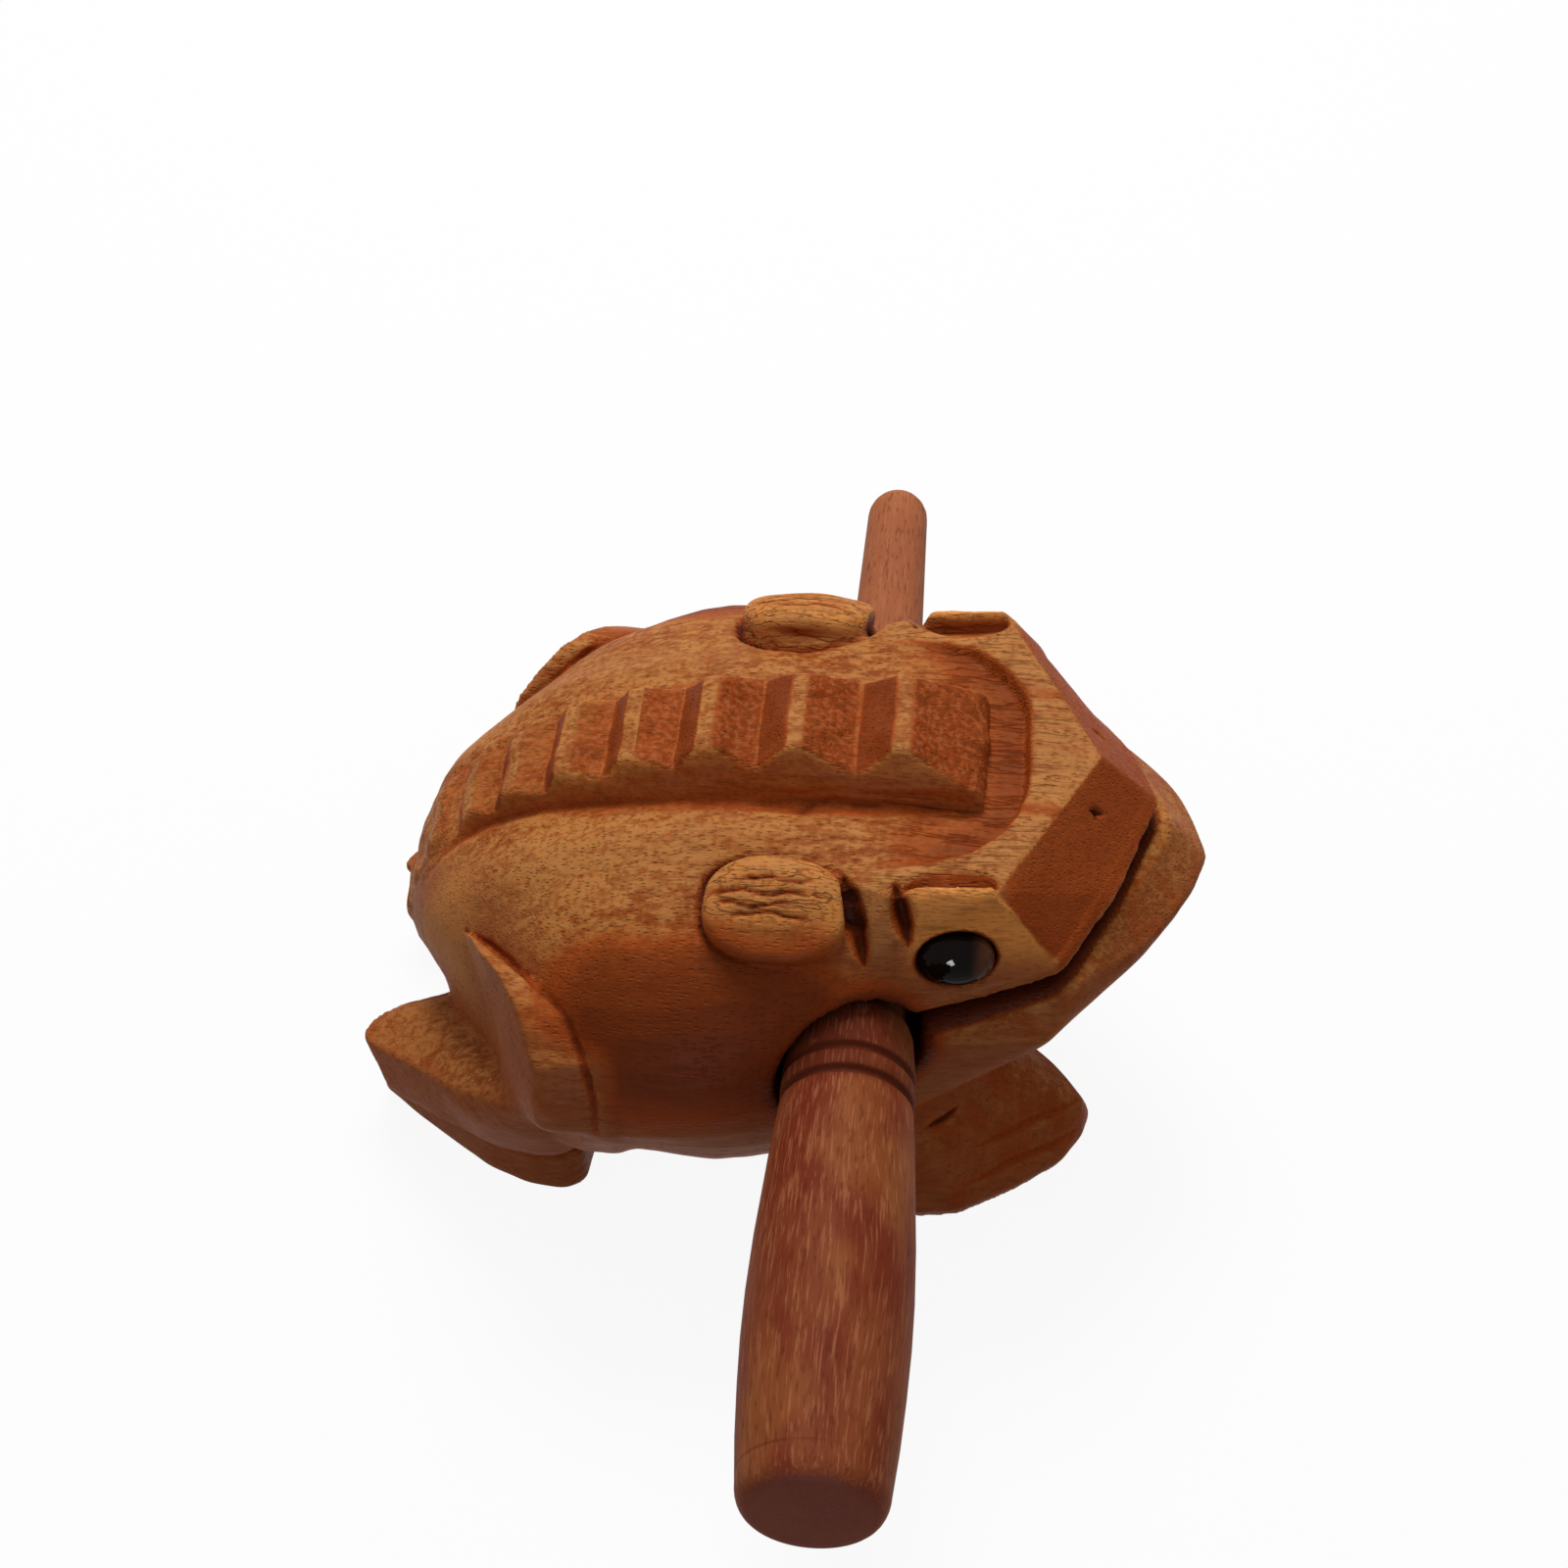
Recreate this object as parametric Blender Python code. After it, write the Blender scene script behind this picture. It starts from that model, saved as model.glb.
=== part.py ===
"""A frog guiro: a carved wooden frog with a ridged back, glass eyes and a turned stick.

The stick rubs the ridge to make the croak, and is kept in a bore that runs through the frog from
side to side. The mouth is a saw cut from the lips back into the bore, so the two are one chamber.

Frame: +X towards the nose, +Y to the frog's left, +Z up. The origin is on the floor, in the
middle of the flat belly. Sizes are in millimetres and become metres where a mesh is made.
"""

import math

import bmesh
import bpy
from mathutils import Matrix, Vector

MM = 0.001
GAP = 0.3

# Main sizes: heel to lip, floor to the crest of the ridge, and the stick from end to end
FROG_LENGTH = 105.4
FROG_HEIGHT = 61.5
STICK_LENGTH = 162.0
HEEL_REACH = 55.0
LIP_TIP_X = FROG_LENGTH - HEEL_REACH

# Torso, as a table of offsets: x, half width, depth of the back below the crest, bottom
TORSO = (
    (-50.2, 5.0, 35.0, 17.0),
    (-47.5, 10.6, 26.9, 14.0),
    (-42.0, 18.2, 19.9, 10.0),
    (-34.0, 27.0, 14.2, 3.0),
    (-24.0, 37.2, 10.3, -1.5),
    (-12.0, 39.5, 7.3, -1.5),
    (0.0, 37.0, 6.5, -1.3),
    (10.0, 32.0, 6.0, 0.8),
    (20.0, 26.8, 6.1, 8.5),
    (28.0, 20.0, 8.5, 20.0),
)
TORSO_WIDEST = 0.58
BACK_SQUARENESS = 2.6
BELLY_SQUARENESS = 1.9
TORSO_POINTS = 44
STEPS_BETWEEN_STATIONS = 3

# Ridge: its crest is a quarter of a superellipse in the plane of symmetry
RIDGE_CENTRE_X = 8.0
RIDGE_CENTRE_Z = 15.0
RIDGE_REACH = 59.6
RIDGE_RISE = FROG_HEIGHT - RIDGE_CENTRE_Z
RIDGE_SQUARENESS = 2.25
RIDGE_ROOT = 9.0
CREST_HALF_WIDTH = 6.5
CREST_TAIL_HALF_WIDTH = 3.4
CREST_FLAT = 2.2
FLANK_SPREAD = 0.5
FIRST_TOOTH_X = 11.3
FIRST_PITCH = 12.8
LAST_PITCH = 7.0
PITCH_RATIO = 0.68
NOTCH_DEPTH = 3.0
NOTCH_SHARE = 0.42
FRONT_RAMP = 9.0
FRONT_DEPTH = 4.8

# Shallow trough round the front of the ridge: corners of its floor, and of its mouth above the back
TROUGH_FRONT_Z = FROG_HEIGHT - 6.9
TROUGH_REAR_Z = FROG_HEIGHT - 6.1
TROUGH_MOUTH_Z = FROG_HEIGHT - 1.5
TROUGH_FLOOR = (
    (27.2, 6.0, TROUGH_FRONT_Z),
    (23.5, 10.5, TROUGH_FRONT_Z),
    (2.0, 10.5, TROUGH_REAR_Z),
)
TROUGH_MOUTH = (
    (28.8, 7.0, TROUGH_MOUTH_Z),
    (24.5, 13.5, TROUGH_MOUTH_Z),
    (2.0, 13.5, TROUGH_MOUTH_Z),
)

# Head: corners of the facets on the frog's left, mirrored to its right
HEAD_TOP_Z = FROG_HEIGHT - 5.5
NOSE_TOP = (LIP_TIP_X - 14.2, 0.0, HEAD_TOP_Z)
NOSE_TIP = (LIP_TIP_X - 6.4, 0.0, 48.3)
NOSE_ROOT = (LIP_TIP_X - 4.4, 0.0, 45.0)
MUZZLE_SIDE = (LIP_TIP_X - 11.5, 14.2, 47.0)
HEAD_CORNER = (24.3, 23.2, HEAD_TOP_Z + 0.5)
HEAD_BACK = (-1.0, 19.0, HEAD_TOP_Z - 2.2)
BROW_BACK = (13.5, 23.8, HEAD_TOP_Z - 0.8)
CHEEK_BACK = (2.0, 30.0, 44.5)
CHEEK_FRONT = (33.2, 24.4, 45.1)
CHEEK_ROOT = (34.0, 26.0, 41.5)
MOUTH_CORNER = (16.4, 28.2, 40.1)
MOUTH_ROOT = (12.0, 28.8, 35.0)
HEAD_REAR = (-2.0, 27.0, 36.0)

# Lower jaw: a rounded V in plan
LIP_TIP_Z = 39.2
LIP_DEPTH = 18.8
LIP_DROP = 2.2
LIP_HALF_WIDTH = 29.6
LIP_SHARPNESS = 1.4
LIP_STEPS = 6
LIP_REAR = (15.0, 30.6, 35.0)
LIP_INSIDE = ((LIP_TIP_X - 5.2, 0.0, 45.7), (34.2, 25.2, 42.5), (16.4, 28.4, 37.2))
CHEST_TIP = (LIP_TIP_X - 12.4, 0.0, 22.0)
CHEST_SIDE = (28.0, 17.0, 18.0)
CHEST_REAR = (4.0, 26.0, 8.0)

# Mouth: the line of the upper lip in the plane of symmetry, and the width of the saw cut
MOUTH_LINE = ((8.6, 37.7), (33.0, 45.1), (44.0, 48.4), (56.0, 52.2))
MOUTH_KERF = 2.6

# Bore and stick, which share their place: the stick's collar lies on the floor of the bore
STICK_X = 8.5
STICK_Z = 34.5
COLLAR_RADIUS = 7.9
COLLAR_PLAY = 0.8
BORE_RADIUS = COLLAR_RADIUS + COLLAR_PLAY
STICK_SIDES = 40
BORE_SIDES = 48

# Turned profile of the stick: place along its length, from the handle to the tip, and radius
STICK_TIP_Y = 70.5
STICK_END_Y = STICK_TIP_Y - STICK_LENGTH
HANDLE_RADIUS = 9.4
HANDLE_MIDDLE_Y = -67.0
HANDLE_HEEL_Y = STICK_END_Y + 3.0
HANDLE_HEEL_RADIUS = 8.3
HANDLE_FACE_RADIUS = 6.5
COLLAR_Y = -39.2
COLLAR_BAND = 3.4
RING_DEPTH = 0.5
RING_WIDTH = 0.9
NECK_END_Y = -29.0
NECK_RADIUS = 7.3
SHAFT_ROOT_Y = -27.0
SHAFT_ROOT_RADIUS = 6.2
SHAFT_TIP_RADIUS = 4.2
TIP_ROUND = 4.5

# Eyes: glass beads in round sockets
EYE_CENTRE = (20.3, 26.2, 47.7)
EYE_NORMAL = (0.06, 0.96, 0.26)
EYE_RADIUS = 4.4
EYE_ASPECT = 0.78
EYE_DOME = 2.1
EYE_SET = 2.0
EYE_SIDES = 32

# Ear drums
EAR_CENTRE = (-0.8, 24.4, FROG_HEIGHT - 9.1)
EAR_NORMAL = (0.0, 0.5, 0.86)
EAR_HALF_LENGTH = 8.9
EAR_HALF_WIDTH = 6.4
EAR_HALF_THICKNESS = 3.0

# Thigh, shin and foot of the hind leg, on the frog's left
THIGH_FRONT = (
    (-28.8, 29.5, 42.2),
    (-24.8, 33.4, 41.0),
    (-22.4, 37.0, 37.8),
    (-20.8, 38.4, 32.9),
    (-20.8, 37.6, 25.0),
)
THIGH_ARRIS = (
    (-39.0, 19.8, 39.7),
    (-37.2, 23.2, 40.9),
    (-34.0, 27.7, 42.6),
    (-31.6, 31.4, 42.1),
    (-29.4, 34.9, 40.0),
    (-28.0, 37.9, 37.3),
    (-27.7, 39.6, 32.0),
    (-28.0, 38.8, 27.0),
)
THIGH_REAR = (
    (-42.5, 13.3, 18.0),
    (-38.2, 20.5, 22.0),
    (-34.1, 25.2, 21.0),
    (-29.9, 31.5, 21.0),
    (-29.0, 34.5, 24.0),
    (-25.0, 28.0, 18.0),
)
SHIN_TOP = (
    (-HEEL_REACH, 14.8, 12.0),
    (-54.0, 13.4, 13.0),
    (-50.4, 13.6, 16.0),
    (-46.3, 13.0, 16.8),
    (-42.5, 13.3, 17.2),
    (-36.0, 10.0, 20.0),
    (-46.3, 22.0, 17.0),
    (-40.8, 27.2, 20.0),
    (-35.5, 32.0, 23.0),
    (-29.9, 35.6, 26.0),
)
SHIN_UNDER = (
    (-51.4, 18.7, 7.0),
    (-45.4, 23.2, 8.0),
    (-37.2, 27.6, 9.0),
    (-28.8, 29.2, 10.0),
    (-24.0, 26.0, 9.0),
    (-24.0, 20.0, 20.0),
    (-40.0, 10.0, 9.0),
)
HIND_SOLE = (
    (-53.3, 14.2),
    (-47.9, 18.6),
    (-42.9, 22.2),
    (-37.7, 25.7),
    (-32.2, 28.1),
    (-28.3, 28.5),
    (-26.0, 27.6),
    (-24.9, 19.9),
    (-40.0, 10.0),
)
HIND_FOOT_HEIGHT = 8.0

# Paddle of the fore leg, on the frog's left
FORE_SOLE = (
    (38.5, 12.3),
    (37.6, 15.6),
    (35.0, 19.7),
    (29.8, 24.0),
    (22.7, 28.4),
    (17.8, 29.3),
    (8.0, 28.0),
    (6.0, 16.0),
    (28.0, 6.0),
)
FORE_TOP = (
    (37.2, 14.0, 7.0),
    (33.8, 10.3, 9.0),
    (30.0, 7.8, 10.0),
    (28.0, 21.0, 9.5),
    (18.0, 27.5, 11.0),
    (8.0, 28.5, 16.0),
    (16.0, 17.0, 25.0),
    (6.0, 20.0, 25.0),
)
SOLE_EDGE = 2.5


def remove_everything():
    for thing in list(bpy.data.objects):
        bpy.data.objects.remove(thing, do_unlink=True)


def wood(name, colour, roughness):
    material = bpy.data.materials.new(name)
    material.use_nodes = True
    shader = material.node_tree.nodes["Principled BSDF"]
    shader.inputs["Base Color"].default_value = (*colour, 1.0)
    shader.inputs["Roughness"].default_value = roughness
    shader.inputs["Metallic"].default_value = 0.0
    return material


def new_object(name, bm, material=None, smooth_angle=30.0):
    """Turns a bmesh in millimetres into an object in metres, with its faces outwards."""
    bmesh.ops.recalc_face_normals(bm, faces=bm.faces)
    bmesh.ops.scale(bm, vec=(MM, MM, MM), verts=bm.verts)
    mesh = bpy.data.meshes.new(name)
    bm.to_mesh(mesh)
    bm.free()
    mesh.shade_smooth()
    mesh.set_sharp_from_angle(angle=math.radians(smooth_angle))
    thing = bpy.data.objects.new(name, mesh)
    bpy.context.scene.collection.objects.link(thing)
    if material:
        mesh.materials.append(material)
    return thing


def helper(name, bm):
    thing = new_object(name, bm)
    thing.hide_render = True
    thing.display_type = "WIRE"
    return thing


def loft(rings):
    """Bridges closed rings of points, in order, and fills the two end rings."""
    bm = bmesh.new()
    loops = []
    for ring in rings:
        verts = [bm.verts.new(point) for point in ring]
        loops.append([bm.edges.new((a, b)) for a, b in zip(verts, verts[1:] + verts[:1])])
    for first, second in zip(loops, loops[1:]):
        bmesh.ops.bridge_loops(bm, edges=first + second)
    for loop in (loops[0], loops[-1]):
        bmesh.ops.contextual_create(bm, geom=loop)
    return bm


def hull(points):
    bm = bmesh.new()
    for point in points:
        bm.verts.new(point)
    bmesh.ops.remove_doubles(bm, verts=bm.verts, dist=0.001)
    made = bmesh.ops.convex_hull(bm, input=bm.verts)
    inside = [v for v in made["geom_interior"] if isinstance(v, bmesh.types.BMVert)]
    bmesh.ops.delete(bm, geom=inside, context="VERTS")
    return bm


def turned(profile, sides):
    """Spins (along, radius) pairs, from one end of the axis to the other, about local Z."""
    bm = bmesh.new()
    verts = [bm.verts.new((radius, 0.0, along)) for along, radius in profile]
    edges = [bm.edges.new(pair) for pair in zip(verts, verts[1:])]
    bmesh.ops.spin(
        bm, geom=verts + edges, angle=2 * math.pi, steps=sides, axis=(0, 0, 1), use_merge=True
    )
    bmesh.ops.remove_doubles(bm, verts=bm.verts, dist=0.001)
    return bm


def mirrored(points):
    """Points given on the frog's left, with their copies on its right."""
    return [(x, side * y, z) for x, y, z in points for side in (1, -1)]


def on_side(points, side):
    return [(x, side * y, z) for x, y, z in points]


def smooth_table(rows, steps):
    """A Catmull-Rom curve through the rows of a table of offsets."""
    rows = [Vector(row) for row in rows]
    padded = [2 * rows[0] - rows[1], *rows, 2 * rows[-1] - rows[-2]]
    curve = []
    for a, b, c, d in zip(padded, padded[1:], padded[2:], padded[3:]):
        for step in range(steps):
            t = step / steps
            straight = b + 0.5 * t * (c - a)
            bend = a - 2.5 * b + 2 * c - 0.5 * d
            twist = 1.5 * (b - c) + 0.5 * (d - a)
            curve.append(straight + bend * t**2 + twist * t**3)
    return [*curve, rows[-1]]


def rounded_power(value, power):
    return math.copysign(abs(value) ** power, value)


def torso_ring(x, half_width, depth, bottom):
    """A superellipse, squarer above its widest level than below it."""
    top = FROG_HEIGHT - depth
    middle = bottom + TORSO_WIDEST * (top - bottom)
    ring = []
    for k in range(TORSO_POINTS):
        angle = 2 * math.pi * k / TORSO_POINTS
        above = math.sin(angle) > 0
        power = 2.0 / (BACK_SQUARENESS if above else BELLY_SQUARENESS)
        height = (top if above else bottom) - middle
        y = half_width * rounded_power(math.cos(angle), power)
        z = middle + height * abs(math.sin(angle)) ** power
        ring.append((x, y, z))
    return ring


def crest_point(angle):
    """A point of the crest: angle 0 is the top, a right angle the tail, less than 0 is level."""
    if angle < 0:
        return Vector((RIDGE_CENTRE_X - RIDGE_REACH * angle, 0.0, RIDGE_CENTRE_Z + RIDGE_RISE))
    power = 2.0 / RIDGE_SQUARENESS
    x = RIDGE_CENTRE_X - RIDGE_REACH * math.sin(angle) ** power
    z = RIDGE_CENTRE_Z + RIDGE_RISE * math.cos(angle) ** power
    return Vector((x, 0.0, z))


def crest_walk():
    """Points along the crest, a fraction of a millimetre apart, from the front to the tail."""
    start = (RIDGE_CENTRE_X - FIRST_TOOTH_X - FRONT_RAMP - CREST_FLAT) / RIDGE_REACH
    samples = 900
    end = math.radians(89.0)
    return [crest_point(start + (end - start) * k / samples) for k in range(samples + 1)]


def ridge_marks(crest_length):
    """(place along the crest, depth) of each corner of the toothed profile, as far as the tail."""
    marks = [(0.0, FRONT_DEPTH)]
    tooth = FRONT_RAMP + 0.5 * CREST_FLAT
    pitch = FIRST_PITCH
    while tooth + NOTCH_SHARE * pitch < crest_length:
        depth = NOTCH_DEPTH * pitch / FIRST_PITCH
        marks.append((tooth - 0.5 * CREST_FLAT, 0.0))
        marks.append((tooth + 0.5 * CREST_FLAT, 0.0))
        marks.append((tooth + NOTCH_SHARE * pitch, depth))
        tooth += pitch
        pitch = LAST_PITCH + (pitch - LAST_PITCH) * PITCH_RATIO
    return marks


def ridge():
    walk = crest_walk()
    lengths = [0.0]
    for a, b in zip(walk, walk[1:]):
        lengths.append(lengths[-1] + (b - a).length)
    rings = []
    for place, depth in ridge_marks(lengths[-1]):
        tailwards = (place / lengths[-1]) ** 2
        half_width = CREST_HALF_WIDTH + (CREST_TAIL_HALF_WIDTH - CREST_HALF_WIDTH) * tailwards
        k = min(sum(length < place for length in lengths), len(walk) - 2)
        along = (walk[k + 1] - walk[k - 1] if k else walk[1] - walk[0]).normalized()
        inwards = Vector((along.z, 0.0, -along.x))
        if inwards.dot(Vector((RIDGE_CENTRE_X, 0.0, RIDGE_CENTRE_Z)) - walk[k]) < 0:
            inwards = -inwards
        top = walk[k] + inwards * depth
        root = walk[k] + inwards * RIDGE_ROOT
        top_half = half_width + FLANK_SPREAD * depth
        root_half = half_width + FLANK_SPREAD * RIDGE_ROOT
        rings.append(
            [
                root + Vector((0, -root_half, 0)),
                top + Vector((0, -top_half, 0)),
                top + Vector((0, top_half, 0)),
                root + Vector((0, root_half, 0)),
            ]
        )
    return loft(rings)


def head():
    corners = mirrored(
        (
            HEAD_CORNER,
            HEAD_BACK,
            BROW_BACK,
            CHEEK_BACK,
            CHEEK_FRONT,
            CHEEK_ROOT,
            MUZZLE_SIDE,
            MOUTH_CORNER,
            MOUTH_ROOT,
            HEAD_REAR,
        )
    )
    return hull([*corners, NOSE_TOP, NOSE_TIP, NOSE_ROOT])


def jaw():
    rim = [LIP_REAR]
    for k in range(LIP_STEPS + 1):
        share = k / LIP_STEPS
        back = share**LIP_SHARPNESS
        x = LIP_TIP_X - LIP_DEPTH * back
        rim.append((x, LIP_HALF_WIDTH * share, LIP_TIP_Z - LIP_DROP * back**2))
    return hull(mirrored((*rim, *LIP_INSIDE, MOUTH_ROOT, CHEST_TIP, CHEST_SIDE, CHEST_REAR)))


def turned_basis(normal):
    """The turn that takes local Z to the normal, with local X kept as level as it can be."""
    normal = Vector(normal).normalized()
    level = Vector((0, 0, 1)).cross(normal).normalized()
    upright = normal.cross(level)
    return Matrix((level, upright, normal)).transposed().to_4x4()


def ear(side):
    bm = bmesh.new()
    bmesh.ops.create_uvsphere(bm, u_segments=28, v_segments=14, radius=1.0)
    size = Matrix.Diagonal((EAR_HALF_LENGTH, EAR_HALF_WIDTH, EAR_HALF_THICKNESS, 1.0))
    place = Matrix.Translation(on_side([EAR_CENTRE], side)[0])
    turn = turned_basis(on_side([EAR_NORMAL], side)[0])
    bmesh.ops.transform(bm, matrix=place @ turn @ size, verts=bm.verts)
    return bm


def slab(outline, height):
    """The corners of a flat piece that lies on the floor."""
    return [(x, y, z) for x, y in outline for z in (0.0, height)]


def mouth():
    upper = [Vector((x, 0.0, z)) for x, z in MOUTH_LINE]
    lower = [point - Vector((0, 0, MOUTH_KERF)) for point in reversed(upper)]
    bm = bmesh.new()
    verts = [bm.verts.new(point) for point in (*upper, *lower)]
    face = bm.faces.new(verts)
    half = 60.0
    bmesh.ops.translate(bm, vec=(0, -half, 0), verts=verts)
    moved = bmesh.ops.extrude_face_region(bm, geom=[face])["geom"]
    moved = [v for v in moved if isinstance(v, bmesh.types.BMVert)]
    bmesh.ops.translate(bm, vec=(0, 2 * half, 0), verts=moved)
    return bm


def bore_z():
    return STICK_Z - COLLAR_RADIUS - GAP + BORE_RADIUS


def bore():
    half = 60.0
    bm = turned(((-half, 0.0), (-half, BORE_RADIUS), (half, BORE_RADIUS), (half, 0.0)), BORE_SIDES)
    bmesh.ops.rotate(bm, matrix=Matrix.Rotation(math.radians(-90), 3, "X"), verts=bm.verts)
    bmesh.ops.translate(bm, vec=(STICK_X, 0, bore_z()), verts=bm.verts)
    return bm


def socket(side):
    depth = EYE_SET + GAP
    radius = EYE_RADIUS + GAP
    proud = 8.0
    bm = turned(((-depth, 0.0), (-depth, radius), (proud, radius), (proud, 0.0)), EYE_SIDES)
    bmesh.ops.transform(bm, matrix=eye_matrix(side, 1.0), verts=bm.verts)
    return bm


def floor_cut():
    depth = 30.0
    bm = bmesh.new()
    bmesh.ops.create_cube(bm, size=1.0)
    bmesh.ops.scale(bm, vec=(200.0, 200.0, depth), verts=bm.verts)
    bmesh.ops.translate(bm, vec=(0, 0, -0.5 * depth), verts=bm.verts)
    return bm


def frog_body(material):
    """The carved block: forms are joined to the torso and cuts are taken from it, in this order."""
    offsets = smooth_table(TORSO, STEPS_BETWEEN_STATIONS)
    body = new_object("frog_body", loft([torso_ring(*row) for row in offsets]), material)
    forms = {"head": head(), "jaw": jaw()}
    trough = {"trough": hull(mirrored(TROUGH_FLOOR + TROUGH_MOUTH))}
    limbs = {"ridge": ridge()}
    cuts = {"mouth": mouth(), "bore": bore(), "floor": floor_cut()}
    for side, word in ((1, "left"), (-1, "right")):
        fore = [*slab(FORE_SOLE, SOLE_EDGE), *FORE_TOP]
        limbs[word + "_ear"] = ear(side)
        limbs[word + "_thigh"] = hull(on_side(THIGH_FRONT + THIGH_ARRIS + THIGH_REAR, side))
        limbs[word + "_shin"] = hull(on_side(SHIN_TOP + SHIN_UNDER, side))
        limbs[word + "_hind_foot"] = hull(on_side(slab(HIND_SOLE, HIND_FOOT_HEIGHT), side))
        limbs[word + "_fore_foot"] = hull(on_side(fore, side))
        cuts[word + "_socket"] = socket(side)
    stages = (("UNION", forms), ("DIFFERENCE", trough), ("UNION", limbs), ("DIFFERENCE", cuts))
    for operation, shapes in stages:
        for name, bm in shapes.items():
            carve = body.modifiers.new(name, "BOOLEAN")
            carve.operation = operation
            carve.object = helper("carve_" + name, bm)
            carve.object.parent = body
    return body


def eye_matrix(side, scale):
    place = Matrix.Translation(scale * Vector(on_side([EYE_CENTRE], side)[0]))
    oval = Matrix.Diagonal((1.0, EYE_ASPECT, 1.0, 1.0))
    return place @ turned_basis(on_side([EYE_NORMAL], side)[0]) @ oval


def eye(name, side, material):
    """A glass bead: a short cylinder in the socket, with a round dome."""
    dome_steps = 8
    profile = [(-EYE_SET, 0.0), (-EYE_SET, EYE_RADIUS)]
    for k in range(dome_steps + 1):
        angle = 0.5 * math.pi * k / dome_steps
        profile.append((EYE_DOME * math.sin(angle), EYE_RADIUS * math.cos(angle)))
    bead = new_object(name, turned(profile, EYE_SIDES), material, 60.0)
    bead.matrix_world = eye_matrix(side, MM)
    return bead


def ring_groove(y, radius):
    half = 0.5 * RING_WIDTH
    return ((y - half, radius), (y, radius - RING_DEPTH), (y + half, radius))


def stick_profile():
    quarter = math.radians(90)
    profile = [(STICK_END_Y, 0.0), (STICK_END_Y, HANDLE_FACE_RADIUS)]
    steps = 6
    for k in range(1, steps + 1):
        angle = quarter * k / steps
        y = STICK_END_Y + (HANDLE_HEEL_Y - STICK_END_Y) * (1 - math.cos(angle))
        radius = HANDLE_FACE_RADIUS + (HANDLE_HEEL_RADIUS - HANDLE_FACE_RADIUS) * math.sin(angle)
        profile.append((y, radius))
    for k in range(1, steps + 1):
        t = k / steps
        y = HANDLE_HEEL_Y + (HANDLE_MIDDLE_Y - HANDLE_HEEL_Y) * t
        drop = (HANDLE_RADIUS - HANDLE_HEEL_RADIUS) * (1 - t) ** 2
        profile.append((y, HANDLE_RADIUS - drop))
    for k in range(1, steps + 1):
        t = k / steps
        y = HANDLE_MIDDLE_Y + (COLLAR_Y - HANDLE_MIDDLE_Y) * t
        drop = (HANDLE_RADIUS - COLLAR_RADIUS) * t**2
        profile.append((y, HANDLE_RADIUS - drop))
    profile += ring_groove(COLLAR_Y + RING_WIDTH, COLLAR_RADIUS)
    profile += ring_groove(COLLAR_Y + RING_WIDTH + COLLAR_BAND, COLLAR_RADIUS)
    profile.append((NECK_END_Y, NECK_RADIUS))
    profile.append((SHAFT_ROOT_Y, SHAFT_ROOT_RADIUS))
    profile.append((STICK_TIP_Y - TIP_ROUND, SHAFT_TIP_RADIUS))
    for k in range(1, steps + 1):
        angle = quarter * k / steps
        y = STICK_TIP_Y - TIP_ROUND * (1 - math.sin(angle))
        profile.append((y, SHAFT_TIP_RADIUS * math.cos(angle)))
    return profile


def striker_stick(material):
    stick = new_object("striker_stick", turned(stick_profile(), STICK_SIDES), material)
    stick.location = (STICK_X * MM, 0.0, STICK_Z * MM)
    stick.rotation_euler = (math.radians(-90), 0.0, 0.0)
    return stick


def main():
    remove_everything()
    carved_wood = wood("carved_wood", (0.36, 0.15, 0.05), 0.5)
    turned_wood = wood("turned_wood", (0.26, 0.08, 0.04), 0.5)
    dark_glass = wood("dark_glass", (0.01, 0.014, 0.012), 0.05)
    frog = bpy.data.objects.new("frog_guiro", None)
    bpy.context.scene.collection.objects.link(frog)
    pieces = [
        frog_body(carved_wood),
        eye("right_eye", -1, dark_glass),
        eye("left_eye", 1, dark_glass),
        striker_stick(turned_wood),
    ]
    for piece in pieces:
        piece.parent = frog


main()
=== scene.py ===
# %% [markdown]
# # A carved frog guiro
# The frog is one block of wood with a ridged back, two glass eyes and a turned stick that sits in a
# bore from side to side. The packed CAD model gives every place and size, so the first cell loads
# it. Everything that follows only dresses those solids: it carves the block finer,
# turns the stick, sets the eyes and gives each of them a finish.

import math

import bmesh
import bpy
import numpy as np
from mathutils import Matrix, Vector, noise
from mathutils.bvhtree import BVHTree


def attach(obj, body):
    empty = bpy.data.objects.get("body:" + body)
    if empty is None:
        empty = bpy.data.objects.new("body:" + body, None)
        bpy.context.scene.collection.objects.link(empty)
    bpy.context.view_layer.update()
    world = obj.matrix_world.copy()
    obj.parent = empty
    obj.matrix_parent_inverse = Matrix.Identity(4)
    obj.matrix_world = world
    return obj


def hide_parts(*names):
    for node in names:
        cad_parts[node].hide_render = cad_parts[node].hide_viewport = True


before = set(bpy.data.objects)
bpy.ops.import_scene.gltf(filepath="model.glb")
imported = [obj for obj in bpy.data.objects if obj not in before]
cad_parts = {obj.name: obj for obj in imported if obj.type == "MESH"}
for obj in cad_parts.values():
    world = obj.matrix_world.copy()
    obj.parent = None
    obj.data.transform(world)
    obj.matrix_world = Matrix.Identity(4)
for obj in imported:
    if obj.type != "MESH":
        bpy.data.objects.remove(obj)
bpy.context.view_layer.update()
MM = 0.001

# %% [markdown]
# ## The camera
# The photograph was taken from above the frog's right side with a lens a little longer than normal.
# A camera could be placed by hand, but a place, a direction to look in and a small roll are three
# plain facts, so the turn is worked out from them: right, up and back make its three columns.

# %% Set up the camera
CAMERA_PLACE = Vector((0.019, -0.236, 0.295))
CAMERA_SIGHT = Vector((-0.0615, 0.6894, -0.7218))
CAMERA_ROLL = math.radians(-0.3)
SENSOR_WIDTH = 36.0
LENS = 63.97
NEAREST_SEEN = 0.01

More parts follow.
